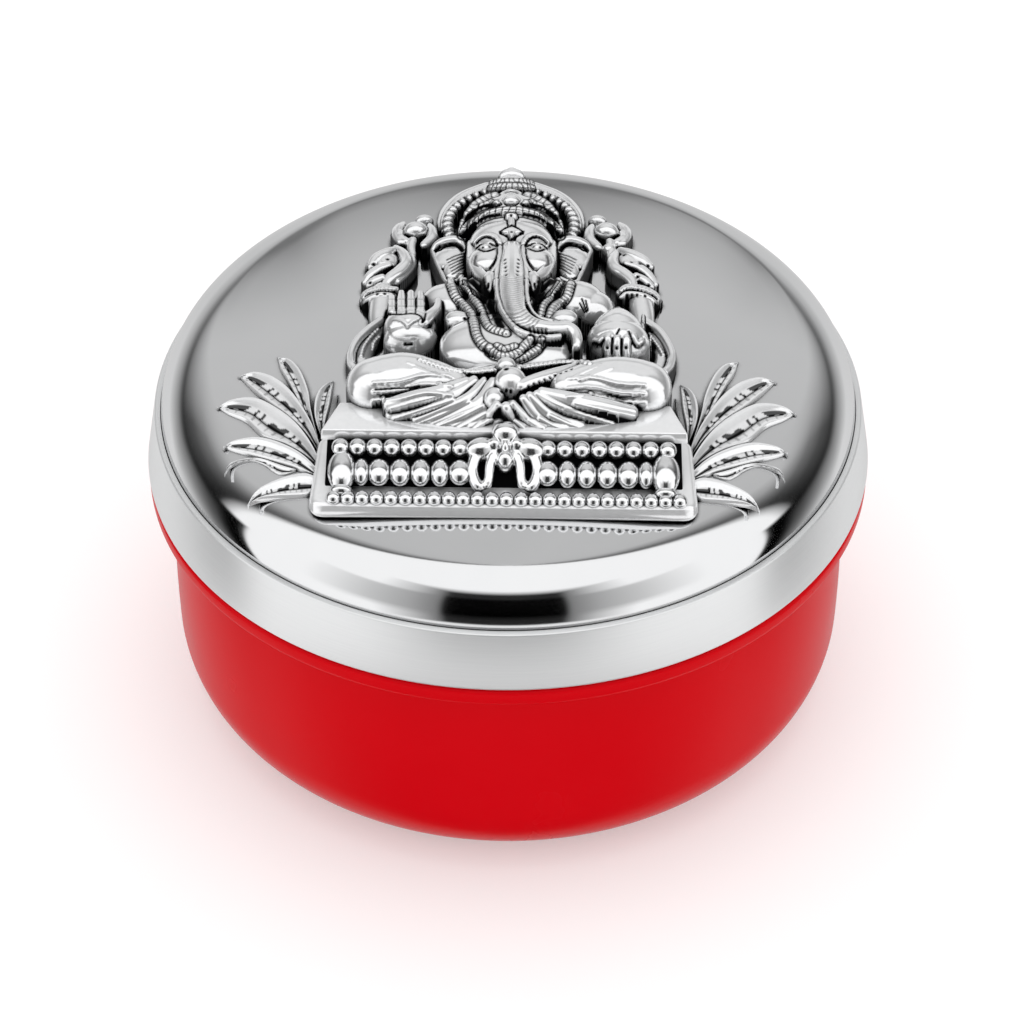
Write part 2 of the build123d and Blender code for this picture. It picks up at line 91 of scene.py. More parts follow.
def crown(x, y):
    """Height of the lid's skin above the foot, in millimetres."""
    return LID_TOP - crown_ball + np.sqrt(crown_ball ** 2 - x ** 2 - y ** 2)


print("crown at the middle", round(float(crown(0, 0)), 2), "at the shoulder", round(float(crown(shoulder_x, 0)), 2))

# %% [markdown]
# ## Turned pieces
# The bowl, the band, the dome and the grip ring are all bodies of revolution. A half profile is drawn by
# extruding one point from corner to corner, and the spin tool sweeps it round the axis. A cylinder with
# bevels would also do, but the spin keeps every curve of the profile as smooth as the moulding tool's.

# %% Lathe
TURNS = 256               # facets round the axis, enough for a clean mirror
SAME_PLACE = 2e-6         # points closer than this, in metres, are one
CREASE = 40               # degrees from which an edge stays sharp


def bend(centre, radius, first, last, steps):
    """Points of an arc in the half profile, angles in degrees from the outward direction."""
    angles = np.radians(np.linspace(first, last, steps + 1))
    return [(centre[0] + radius * math.cos(a), centre[1] + radius * math.sin(a)) for a in angles]


def lathe(name, profile):
    """Extrudes one point along the half profile (radius, height) and spins it into a closed piece."""
    bpy.ops.object.select_all(action="DESELECT")
    bpy.ops.mesh.primitive_plane_add(size=MM)
    piece = bpy.context.object
    piece.name = name
    bpy.ops.object.mode_set(mode="EDIT")
    bpy.ops.mesh.select_all(action="SELECT")
    bpy.ops.mesh.merge(type="CENTER")
    bpy.ops.transform.translate(value=(profile[0][0] * MM, 0, profile[0][1] * MM))
    for (r0, z0), (r1, z1) in zip(profile, profile[1:]):
        bpy.ops.mesh.extrude_region_move(TRANSFORM_OT_translate={"value": ((r1 - r0) * MM, 0, (z1 - z0) * MM)})
    bpy.ops.mesh.select_all(action="SELECT")
    bpy.ops.mesh.spin(steps=TURNS, angle=2 * math.pi, center=(0, 0, 0), axis=(0, 0, 1))
    bpy.ops.mesh.select_all(action="SELECT")
    bpy.ops.mesh.remove_doubles(threshold=SAME_PLACE)
    bpy.ops.mesh.normals_make_consistent(inside=False)
    bpy.ops.object.mode_set(mode="OBJECT")
    bpy.ops.object.shade_smooth_by_angle(angle=math.radians(CREASE))
    print(name, len(piece.data.polygons), "faces")
    return piece


print("facets round the axis", TURNS)

# %% [markdown]
# ## Bowl
# The bowl is one injection-moulded piece: a foot ring, a big soft corner, a wall that leans out a little,
# a ledge that the lid stops above, and a neck that the lid slides over. The inside has draft and a round
# corner so that the powder comes out and the part leaves its mould.

# %% Bowl
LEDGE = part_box("bowl")[1].x / MM
LEDGE_FOOT, LEDGE_TOP, LEDGE_EDGE = 24.3, 26.1, 0.5
WALL_LOW, WALL_MIDDLE, WALL = 31.6, 33.025, 33.5     # radii of the wall at its foot, middle and top
NECK, NECK_EDGE, BORE, BORE_FLOOR = 31.4, 0.3, 29.9, 28.7
FLOOR, FLOOR_CORNER, FOOT_CORNER, FOOT_RING, FOOT_RECESS = 2.2, 6.0, 8.0, 3.0, 0.5

# The wall is a long arc through its foot, its middle and its top; the foot corner rolls inside it.
low, mid, top = Vector((WALL_LOW, 0.0)), Vector((WALL_MIDDLE, LEDGE_FOOT / 2)), Vector((WALL, LEDGE_FOOT))
sag = (mid - (low + top) / 2).length
chord = (top - low).length
wall_radius = chord ** 2 / (8 * sag) + sag / 2
inward = ((low + top) / 2 - mid).normalized()
wall_centre = mid + inward * wall_radius
foot_x = wall_centre.x + math.sqrt((wall_radius - FOOT_CORNER) ** 2 - (FOOT_CORNER - wall_centre.y) ** 2)
tangent = math.degrees(math.atan2(FOOT_CORNER - wall_centre.y, foot_x - wall_centre.x))
wall_top = math.degrees(math.asin((LEDGE_FOOT - wall_centre.y) / wall_radius))
bore_lean = math.degrees(math.atan2(BORE - BORE_FLOOR, BOWL_TOP - FLOOR))
bore_slant = math.radians(bore_lean)
bore_x = BORE_FLOOR + FLOOR_CORNER * math.tan(bore_slant) - FLOOR_CORNER / math.cos(bore_slant)

bowl_profile = [(0, FOOT_RECESS), (foot_x - FOOT_RING, FOOT_RECESS), (foot_x - FOOT_RING, 0)]
bowl_profile += bend((foot_x, FOOT_CORNER), FOOT_CORNER, -90, tangent, 24)
bowl_profile += bend(wall_centre, wall_radius, tangent, wall_top, 16)[1:]
bowl_profile += bend((LEDGE - LEDGE_EDGE, LEDGE_FOOT + LEDGE_EDGE), LEDGE_EDGE, -90, 0, 6)
bowl_profile += bend((LEDGE - LEDGE_EDGE, LEDGE_TOP - LEDGE_EDGE), LEDGE_EDGE, 0, 90, 6)
bowl_profile += [(NECK, LEDGE_TOP)]
bowl_profile += bend((NECK - NECK_EDGE, BOWL_TOP - NECK_EDGE), NECK_EDGE, 0, 90, 5)
bowl_profile += [(BORE, BOWL_TOP)]
bowl_profile += bend((bore_x, FLOOR + FLOOR_CORNER), FLOOR_CORNER, -bore_lean, -90, 16)
bowl_profile += [(0, FLOOR)]
bowl = lathe("bowl_body", bowl_profile)
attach(bowl, "bowl")
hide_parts("bowl")

# %% [markdown]
# ## Lid: band, dome and grip ring
# The lid is a pressed sheet with a rolled shoulder, set into a plain band. A plastic ring pressed inside
# grips the bowl's neck. The band's upper edge is rounded, which catches a bright line.

# %% Lid shell
BAND_FOOT, BAND_TOP = (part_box("lid_band")[i].z / MM for i in (0, 1))
BAND_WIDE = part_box("lid_band")[1].x / MM
BAND_NARROW, BAND_INNER, BAND_EDGE = 34.05, 33.45, 0.25
band_lean = math.degrees(math.atan2(BAND_WIDE - BAND_NARROW, BAND_TOP - BAND_FOOT))
band_profile = [(BAND_INNER, BAND_FOOT)]
band_profile += bend((BAND_WIDE - BAND_EDGE, BAND_FOOT + BAND_EDGE), BAND_EDGE, -90, band_lean, 6)
band_profile += bend((BAND_NARROW - BAND_EDGE, BAND_TOP - BAND_EDGE), BAND_EDGE, band_lean, 90, 8)
band_profile += [(BAND_INNER, BAND_TOP), (BAND_INNER, BAND_FOOT)]
band = lathe("lid_band_ring", band_profile)

COLLAR_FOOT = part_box("lid_dome")[0].z / MM
lean = math.degrees(crown_lean)
ball_centre = (0, LID_TOP - crown_ball)
dome_profile = [(COLLAR - SHEET, COLLAR_FOOT), (COLLAR, COLLAR_FOOT)]
dome_profile += bend((shoulder_x, shoulder_z), SHOULDER, 0, 90 - lean, 28)
dome_profile += bend(ball_centre, crown_ball, 90 - lean, 90, 20)[1:]
dome_profile += bend(ball_centre, crown_ball - SHEET, 90, 90 - lean, 12)
dome_profile += bend((shoulder_x, shoulder_z), SHOULDER - SHEET, 90 - lean, 0, 16)[1:]
dome_profile += [(COLLAR - SHEET, COLLAR_FOOT)]
dome = lathe("lid_dome_shell", dome_profile)

GRIP_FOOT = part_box("grip_ring")[0].z / MM
GRIP_BORE, GRIP_OUTER, GRIP_LIP, GRIP_CHAMFER = 31.55, 32.75, 30.3, 0.2
grip_profile = [(GRIP_BORE + GRIP_CHAMFER, GRIP_FOOT), (GRIP_OUTER, GRIP_FOOT), (GRIP_OUTER, shoulder_z)]
grip_profile += [(GRIP_LIP, shoulder_z), (GRIP_LIP, BOWL_TOP), (GRIP_BORE, BOWL_TOP)]
grip_profile += [(GRIP_BORE, GRIP_FOOT + GRIP_CHAMFER), (GRIP_BORE + GRIP_CHAMFER, GRIP_FOOT)]
grip = lathe("grip_ring_moulding", grip_profile)

LID_PIECES = ((band, "lid_band", "satin_metal"), (dome, "lid_dome", "polished_metal"),
              (grip, "grip_ring", "ring_plastic"))
for piece, node, finish in LID_PIECES:
    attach(piece, "lid")
    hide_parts(node)

# %% [markdown]
# ## Materials
# Each finish starts from what the real one is. One function turns a hex colour, as read off a screen, into
# the linear numbers that the renderer wants, and one function adds a node with its settings and links.

# %% Material helpers
def linear(code):
    """Linear colour of an sRGB hex value."""
    parts = [int(code[i:i + 2], 16) / 255 for i in (1, 3, 5)]
    return (*[c / 12.92 if c <= 0.04045 else ((c + 0.055) / 1.055) ** 2.4 for c in parts], 1.0)


def wire(tree, node, links):
    """Sets sockets, by name or number, to a value, to an output, or to the first output that a node has in use."""
    for socket, value in links.items():
        if isinstance(value, bpy.types.Node):
            value = next(output for output in value.outputs if output.enabled)
        if isinstance(value, bpy.types.NodeSocket):
            tree.links.new(value, node.inputs[socket])
        else:
            node.inputs[socket].default_value = value


def add(tree, kind, links=None, stops=(), **settings):
    """Adds a node with its settings and links, and with a colour ramp's stops: place and grey level."""
    node = tree.nodes.new("ShaderNode" + kind)
    for name, value in settings.items():
        setattr(node, name, value)
    wire(tree, node, links or {})
    for index, (place, level) in enumerate(stops):
        elements = node.color_ramp.elements
        if index == 0:
            elements.remove(elements[-1])
        element = elements.new(place) if index else elements[0]
        element.position = place
        element.color = (level, level, level, 1)
    return node


def start(name, **fixed):
    """A new material: its node tree, its shader with the fixed settings, and its Object coordinates."""
    material = bpy.data.materials.new(name)
    material.use_nodes = True
    tree = material.node_tree
    shader = tree.nodes["Principled BSDF"]
    wire(tree, shader, {socket.replace("_", " "): value for socket, value in fixed.items()})
    return material, tree, shader, add(tree, "TexCoord").outputs["Object"]


def mottle(tree, shader, pattern, dark, light, smooth, rough):
    """Lets a pattern vary a finish: its colour between two tints and its roughness between two values."""
    tint = add(tree, "Mix", {"Factor": pattern, "A": linear(dark), "B": linear(light)}, data_type="RGBA")
    gloss = add(tree, "MapRange", {"Value": pattern, "To Min": smooth, "To Max": rough})
    wire(tree, shader, {"Base Color": tint, "Roughness": gloss})
    return tint


def per_mm(size):
    """Texture scale whose features are about so many millimetres wide, in a model in metres."""
    return 1.0 / (size * MM)


PLASTIC_IOR = 1.49        # polypropylene
# the black of the oxide wash, which also paints shade on the dome and on the castings
OXIDE_AND_SHADE_BLACK = linear("#0A0A0B")
print("oxide black in linear light", [round(c, 4) for c in OXIDE_AND_SHADE_BLACK])

# %% [markdown]
# ### Red polypropylene
# Injection-moulded polypropylene: a deep even red, half gloss, with the faint mottling of a moulded wall.
# Two noises are enough: a wide one for the mottling and a fine one for the skin that the mould leaves.

# %% Red polypropylene
red, tree, shader, place = start("red_polypropylene", IOR=PLASTIC_IOR, Specular_IOR_Level=0.06)
cloud = add(tree, "TexNoise", {"Vector": place, "Scale": per_mm(9.0), "Detail": 3.0})
mottle(tree, shader, cloud, "#CE000D", "#D4000F", 0.22, 0.30)
grain = add(tree, "TexNoise", {"Vector": place, "Scale": per_mm(0.35), "Detail": 2.0})
wire(tree, shader, {"Normal": add(tree, "Bump", {"Height": grain, "Strength": 0.01, "Distance": 0.004 * MM})})
print(red.name, len(tree.nodes), "nodes")

# %% [markdown]
# ### Natural polypropylene
# The grip ring is hidden when the box is shut. It is uncoloured plastic: milky, soft gloss, never polished.

# %% White ring plastic
ring, tree, shader, place = start("natural_polypropylene", IOR=PLASTIC_IOR)
cloud = add(tree, "TexNoise", {"Vector": place, "Scale": per_mm(4.0), "Detail": 2.0})
mottle(tree, shader, cloud, "#D9D8D2", "#E4E3DE", 0.40, 0.52)
print(ring.name, len(tree.nodes), "nodes")

# %% [markdown]
# ### Satin plated metal
# The band is brushed round the axis, so fine level lines spread its highlights sideways. A noise that is
# stretched along the band gives such lines without a picture.

# %% Satin band
satin, tree, shader, place = start("satin_plated_metal", Metallic=0.55)
stretch = add(tree, "Mapping", {"Vector": place, "Scale": (0.02, 0.02, 1.0)})
lines = add(tree, "TexNoise", {"Vector": stretch, "Scale": per_mm(0.12), "Detail": 3.0})
mottle(tree, shader, lines, "#E2E3E4", "#EBECEC", 0.26, 0.34)
wire(tree, shader, {"Normal": add(tree, "Bump", {"Height": lines, "Strength": 0.06, "Distance": 0.01 * MM})})
print(satin.name, len(tree.nodes), "nodes")

# %% [markdown]
# ### Mirror plated metal
# The dome is plated sheet polished to a mirror, broken only by a breath of haze. Close to a casting the
# plate is painted darker, found by how shut in a place is: painted shade where the dome meets the castings.

# %% Polished dome
mirror, tree, shader, place = start("mirror_plated_metal", Metallic=1.0)
haze = add(tree, "TexNoise", {"Vector": place, "Scale": per_mm(6.0), "Detail": 4.0})
plate = mottle(tree, shader, haze, "#E2E3E4", "#E9E9EA", 0.05, 0.11)
FOOT_SHADE_REACH = 0.6                # how far the painted shade reaches out from a casting's foot, in millimetres
corner = add(tree, "AmbientOcclusion", {"Distance": FOOT_SHADE_REACH * MM}, samples=6)
unshaded = add(tree, "ValToRGB", {"Fac": corner.outputs["AO"]}, stops=((0.55, 0.0), (0.85, 1.0)))
tint = add(tree, "Mix", {"Factor": unshaded, "A": OXIDE_AND_SHADE_BLACK, "B": plate}, data_type="RGBA")
wire(tree, shader, {"Base Color": tint})
print(mirror.name, len(tree.nodes), "nodes")

# %% [markdown]
# ### Antique silver
# The castings are silver plated, blackened with an oxide wash and wiped bright on the high places, so the
# black stays wherever a cloth can't reach: where two forms meet and in every chased line. Three degrees of
# polish share one recipe, and the carving hands its black over as an attribute: the oxide, and painted shade
# on steep sides, beside the garlands and at the leaves' roots.

# %% Antique silver
REACH = 0.9               # how far into a corner the oxide stays, in millimetres
POLISH = {"antique_silver_casting": 0.68, "satin_silver_casting": 0.5, "bright_silver_casting": 0.95}
cast_silver = {}
for name, metallic in POLISH.items():
    cast_silver[name], tree, shader, place = start(name, Metallic=metallic)
    corner = add(tree, "AmbientOcclusion", {"Distance": REACH * MM}, samples=6)
    wiped = add(tree, "ValToRGB", {"Fac": corner.outputs["AO"]}, stops=((0.25, 0.0), (0.62, 1.0)))
    # the carving's black: oxide, and painted shade on steep sides, beside the garlands and at the leaves' roots
    chased_and_shaded = add(tree, "Attribute", attribute_name="oxide_and_shade").outputs["Fac"]
    bright = add(tree, "Math", {0: wiped, 1: chased_and_shaded}, operation="SUBTRACT", use_clamp=True)
    speck = add(tree, "TexNoise", {"Vector": place, "Scale": per_mm(0.5), "Detail": 3.0})
    silver = add(tree, "Mix", {"Factor": speck, "A": linear("#F0F1F2"), "B": linear("#FDFDFE")}, data_type="RGBA")
    tint = add(tree, "Mix", {"Factor": bright, "A": OXIDE_AND_SHADE_BLACK, "B": silver}, data_type="RGBA")
    gleam = add(tree, "MapRange", {"Value": bright, "To Max": 0.5})
    gloss = add(tree, "MapRange", {"Value": bright, "To Min": 0.45, "To Max": 0.14})
    skin = add(tree, "Bump", {"Height": speck, "Strength": 0.08, "Distance": 0.02 * MM})
    wire(tree, shader, {"Base Color": tint, "Specular IOR Level": gleam, "Roughness": gloss, "Normal": skin})

FINISH = {
    "red_plastic": red, "ring_plastic": ring, "satin_metal": satin, "polished_metal": mirror,
    "antique_silver": cast_silver["antique_silver_casting"],
    "satin_silver": cast_silver["satin_silver_casting"],
    "bright_silver": cast_silver["bright_silver_casting"],
}


def dress(piece, finish):
    """Gives a piece one finish all over."""
    piece.data.materials.clear()
    piece.data.materials.append(FINISH[finish])


dress(bowl, "red_plastic")
for piece, node, finish in LID_PIECES:
    dress(piece, finish)
print("finishes", sorted(FINISH))

# %% [markdown]
# ## Carving the relief
# The relief is carved as a field of heights over the lid, as a die sinker works: every place of a fine grid
# has one height, a form is a ball pressed up to its top, a strand is a row of balls, and a chased line is
# cut back in. The heights lean a little towards the viewer, so the fronts of the forms keep their detail.
# Forms are drawn at the picture points where they are seen, each with its own height above the lid.

# %% Picture points
PICTURE = 1024            # the picture's side in pixels
VIEWS = {                 # enlarged parts of the picture: left, top, enlargement
    "head": (400, 160, 7.127), "left": (340, 210, 7.129), "right": (560, 210, 6.814),
    "legs": (340, 340, 4.48), "spray": (205, 340, 8.043),
}
FIRST_REACH, REACH_ROUNDS = 300.0, 12     # a ray's first length in millimetres, and how often it is bettered
MIDDLE, CROWN_MIDDLE, HALO_MIDDLE = 795, 792, 791     # upright middle lines in the view of the head
eye_place = np.array(EYE) / MM
eye_back = np.array(back)
eye_right = np.cross((0, 0, 1), eye_back) / np.linalg.norm(np.cross((0, 0, 1), eye_back))
eye_up = np.cross(eye_back, eye_right)
focal = LENS / SENSOR * PICTURE


def spot(view, u, v, height):
    """Plan place (x, y) of an enlarged picture point, at a height above the lid."""
    left, top, zoom = VIEWS[view]
    across, down = (left + u / zoom - PICTURE / 2) / focal, (top + v / zoom - PICTURE / 2) / focal
    ray = across * eye_right - down * eye_up - eye_back
    reach = FIRST_REACH
    for _ in range(REACH_ROUNDS):
        x, y, z = eye_place + reach * ray
        reach += (crown(x, y) + height - z) / ray[2]
    return x, y


def other(points, middle=MIDDLE):
    """The same picture points on the other side of an upright line."""
    return [(2 * middle - p[0], *p[1:]) for p in points]


def repeated(points, steps, count):
    """The same line so many times, each of its points moved on by its own step."""
    return [[(u + k * du, v + k * dv) for (u, v), (du, dv) in zip(points, steps)] for k in range(count)]


print("the brow is at", [round(float(c), 1) for c in spot("head", MIDDLE, 520, 6.2)])

# %% [markdown]
# ### Field and chisels
# Each tool below does one thing that a carver does: press a form up, lay a strand, lay a bead row on what is
# there, cut a line. The grid is fine enough that a chased line of a tenth of a millimetre still shows.

# %% Field
LEAN = 0.4                # how far the heights lean towards the viewer, per millimetre of height
STEP = 0.085
LEFT, RIGHT, NEAR, FAR = -18.0, 18.0, -19.5, 29.0     # the field's edges in plan, in millimetres
NAMES = ["lid", "head_casting", "crown_casting", "halo_casting", "body_casting", "arms_casting", "palm_casting",
         "sweet_casting", "legs_casting"]
xs = np.arange(LEFT, RIGHT, STEP)
ys = np.arange(NEAR, FAR, STEP)
gx, gy = np.meshgrid(xs, ys)
height = np.full(gx.shape, -1.0)
owner = np.zeros(gx.shape, int)
black = np.zeros(gx.shape)
part = 0                  # number of the casting that is being carved; 0 leaves the owner as it is


def window(x, y, reach):
    """Slices of the field round a place in it."""
    i, j = int((y - NEAR) / STEP), int((x - LEFT) / STEP)
    n = int(reach / STEP) + 2
    return slice(max(i - n, 0), i + n + 1), slice(max(j - n, 0), j + n + 1)


def press(x, y, middle, half, turn=0.0):
    """Presses up a ball with three half sizes, its middle at a plan place and a height."""
    a, b, c = half
    w = window(x, y + LEAN * middle, max(a, b) + LEAN * c)
    st, ct = math.sin(math.radians(turn)), math.cos(math.radians(turn))
    dx, dy = gx[w] - x, gy[w] - y
    u, v = dx * ct + dy * st, dy * ct - dx * st
    p, q = LEAN * st, LEAN * ct
    A = (p / a) ** 2 + (q / b) ** 2 + 1 / c ** 2
    B = -2 * (u * p / a ** 2 + v * q / b ** 2 + middle / c ** 2)
    C = (u / a) ** 2 + (v / b) ** 2 + (middle / c) ** 2 - 1
    inside = B * B - 4 * A * C
    rise = np.where(inside > 0, (-B + np.sqrt(np.maximum(inside, 0))) / (2 * A), -1.0)
    higher = (rise > height[w]) & (rise > 0)
    height[w] = np.where(higher, rise, height[w])
    if part:
        owner[w] = np.where(higher, part, owner[w])


print("field", gx.shape)

# %% [markdown]
# ### Strands and balls
# A limb or a roll of cloth is a row of balls close together on a smooth line, each with its own radius, as
# a modeller rolls out wax. A curve with a bevel would also do, but only heights can go into the field.

# %% Strands and balls
SPAN_STEPS = 24           # stations between two given points of a smooth line
STRAND_STEP = 6.0         # picture points between the balls of a strand


def lengths(line):
    """How far along a line each of its stations lies."""
    return np.concatenate([[0], np.cumsum(np.linalg.norm(np.diff(line, axis=0), axis=1))])


def through(points, spacing):
    """Evenly spaced stations on a smooth line through the given points, with all their columns."""
    p = np.array(points, float)
    p = np.vstack([2 * p[0] - p[1], p, 2 * p[-1] - p[-2]])
    t = np.linspace(0, 1, SPAN_STEPS, endpoint=False)[:, None]
    runs = []
    for a, b, c, d in zip(p, p[1:], p[2:], p[3:]):
        square, cube = 2 * a - 5 * b + 4 * c - d, 3 * b - a - 3 * c + d
        runs.append(0.5 * (2 * b + (c - a) * t + square * t ** 2 + cube * t ** 3))
    line = np.vstack([*runs, p[-2:-1]])
    length = lengths(line[:, :2])
    places = np.linspace(0, length[-1], max(2, int(round(length[-1] / spacing)) + 1))
    return np.column_stack([np.interp(places, length, column) for column in line.T])


def with_radius(points, radius):
    """Points with a fourth column, their radius, where they have none."""
    return [(*p, radius) if len(p) == 3 else p for p in points]


def carve(view, balls=(), strands=(), radius=None):
    """Balls (u, v, top, half sizes, turn) and strands of (u, v, top) or (u, v, top, radius), all seen in one view."""
    for u, v, top, half, *turn in balls:
        press(*spot(view, u, v, top - half[2]), top - half[2], half, *turn)
    for points in strands:
        for u, v, top, r in through(with_radius(points, radius), STRAND_STEP):
            press(*spot(view, u, v, top - r), top - r, (r, r, r))


def tell():
    """Prints how much of the field the casting in hand has."""
    print(NAMES[part], int((owner == part).sum()), "cells")


print("castings to carve", NAMES[1:])

# %% [markdown]
# ### Ridges, cuts and garlands
# Fine ornament follows forms that are already there. So a picture point is landed on them first: its ray is
# walked down from above until it meets the field, which is where the photograph shows that point.

# %% Ridges, cuts and garlands
TALLEST, LEVEL_STEP = 9.0, 0.05     # heights tried where a picture point is landed on the forms
RIDGE_PITCH, CUT_PITCH = 3.0, 2.0   # picture points between the places of a ridge and of a cut
RIDGE_STEP, EVEN = 0.08, 4          # millimetres between a ridge's balls, and places evened out on each side
CUT_EDGE = 1.6                      # how full a cut's black is before it fades
BED, BED_FADE, BED_REACH = 0.08, 0.1, 0.4     # the black line beside a garland: place, fade, how far it is sought
LINK_FULL, LINK_FADE, LINK_DARK, LINK_DEPTH = 1.2, 0.085, 0.95, 0.08     # the cuts between its links
LINK_REACH, LINK_AHEAD = 1.2, 0.15  # a cut's window in widths, and how far ahead its direction is taken


def land(view, points, spacing=RIDGE_PITCH):
    """Where a line of picture points lies on the carved forms: field x, field y, height."""
    found = []
    levels = np.arange(TALLEST, 0.0, -LEVEL_STEP)
    for u, v in through(points, spacing)[:, :2]:
        (x0, y0), (x1, y1) = spot(view, u, v, 0.0), spot(view, u, v, TALLEST)
        x, y = x0 + (x1 - x0) * levels / TALLEST, y0 + (y1 - y0) * levels / TALLEST + LEAN * levels
        i = np.clip(((y - NEAR) / STEP).round().astype(int), 0, len(ys) - 1)
        j = np.clip(((x - LEFT) / STEP).round().astype(int), 0, len(xs) - 1)
        hit = np.flatnonzero(height[i, j] >= levels)
        if len(hit):
            k = hit[0]
            found.append((x[k], y[k], height[i[k], j[k]]))
    return np.array(found).reshape(-1, 3)


def ridge(view, points, size, proud, gap=0.0):
    """A raised line on the forms along picture points, or a row of beads if there is a gap between them."""
    line = land(view, points)
    if len(line) < 2:
        return
    evened = np.ones(2 * EVEN + 1) / (2 * EVEN + 1)
    line[:, 2] = np.convolve(np.pad(line[:, 2], EVEN, mode="edge"), evened, mode="valid")
    length = lengths(line)
    for at in np.arange(gap / 2, length[-1], gap or RIDGE_STEP):
        x, y, h = (np.interp(at, length, line[:, i]) for i in range(3))
        press(x, y - LEAN * h, h + (proud - 1) * size, (size, size, size))


def chase(view, points, width, depth, dark=1.0):
    """A line cut into the forms and left black; a single point makes a dot."""
    if len(points) == 1:
        (u, v), = points
        points = [(u - 1, v), (u + 1, v)]
    cut = np.zeros_like(height)
    for x, y, _ in land(view, points, CUT_PITCH):
        w = window(x, y, width)
        near = 1 - ((gx[w] - x) ** 2 + (gy[w] - y) ** 2) / width ** 2
        cut[w] = np.maximum(cut[w], np.maximum(near, 0))
    height[height > 0] -= depth * cut[height > 0]
    np.maximum(black, np.minimum(cut * CUT_EDGE, 1) * dark, out=black)


def chain(view, points, wide, pitch, proud):
    """A garland on the forms: a raised ribbon cut across into links, black beside it and between the links."""
    ridge(view, points, wide, proud)
    line = land(view, points)
    if len(line) < 2:
        return
    length = lengths(line)
    beside = np.full(height.shape, np.inf)
    for x, y, _ in line:
        w = window(x, y, wide + BED_REACH)
        beside[w] = np.minimum(beside[w], np.hypot(gx[w] - x, gy[w] - y))
    black[beside < wide] = 0
    np.maximum(black, np.clip(CUT_EDGE - np.abs(beside - wide - BED) / BED_FADE, 0, 1), out=black)
    for at in np.arange(pitch / 2, length[-1], pitch):
        (x, x2), (y, y2) = (np.interp((at, at + LINK_AHEAD), length, line[:, i]) for i in (0, 1))
        run = math.hypot(x2 - x, y2 - y) or 1.0
        w = window(x, y, LINK_REACH * wide)
        along = np.abs((gx[w] - x) * (x2 - x) + (gy[w] - y) * (y2 - y)) / run
        cut = LINK_DARK * np.clip(LINK_FULL - along / LINK_FADE, 0, 1) * (beside[w] < wide)
        black[w] = np.maximum(black[w], cut)
        height[w] -= LINK_DEPTH * cut * (height[w] > 0)


print("heights tried for a point", round(TALLEST / LEVEL_STEP))

# %% [markdown]
# ## The figure
# The body is a broad chest over a round belly; two rear arms rise at the sides with lotus buds, one palm is
# raised and the other hand holds a pointed sweet. The legs are folded and the cloth fans out from a knot.
# The head has fan ears, full cheeks and a trunk that curls to one side, under a jewelled crown and a halo.
# Points are (across, down, top height) and sometimes a radius; balls have three half sizes and maybe a turn.

# %% Body
part = NAMES.index("body_casting")
TORSO = [     # chest, two for the belly, shoulders and upper arms
    (790, 1110, 5.0, (5.2, 3.6, 2.2)), (765, 1330, 6.2, (6.4, 4.0, 2.3)), (765, 1400, 6.1, (5.6, 2.6, 2.4)),
    (330, 1030, 4.4, (2.5, 2.3, 1.8), -12), (1255, 1010, 4.4, (2.7, 2.3, 1.8), 12),
    (1385, 1070, 3.9, (1.9, 2.0, 1.8)),
    (415, 1150, 5.5, (1.35, 0.95, 1.0), -10), (1170, 1140, 5.5, (1.35, 0.95, 1.0), 10),
]
carve("head", TORSO)
tell()

# %% [markdown]
# ### Rear arms
# The two rear arms rise beside the head, each with curled fingers over a bracelet. Every finger is one strand,
# thick in the middle and thin at its ends, because a few separate balls would look like beads.

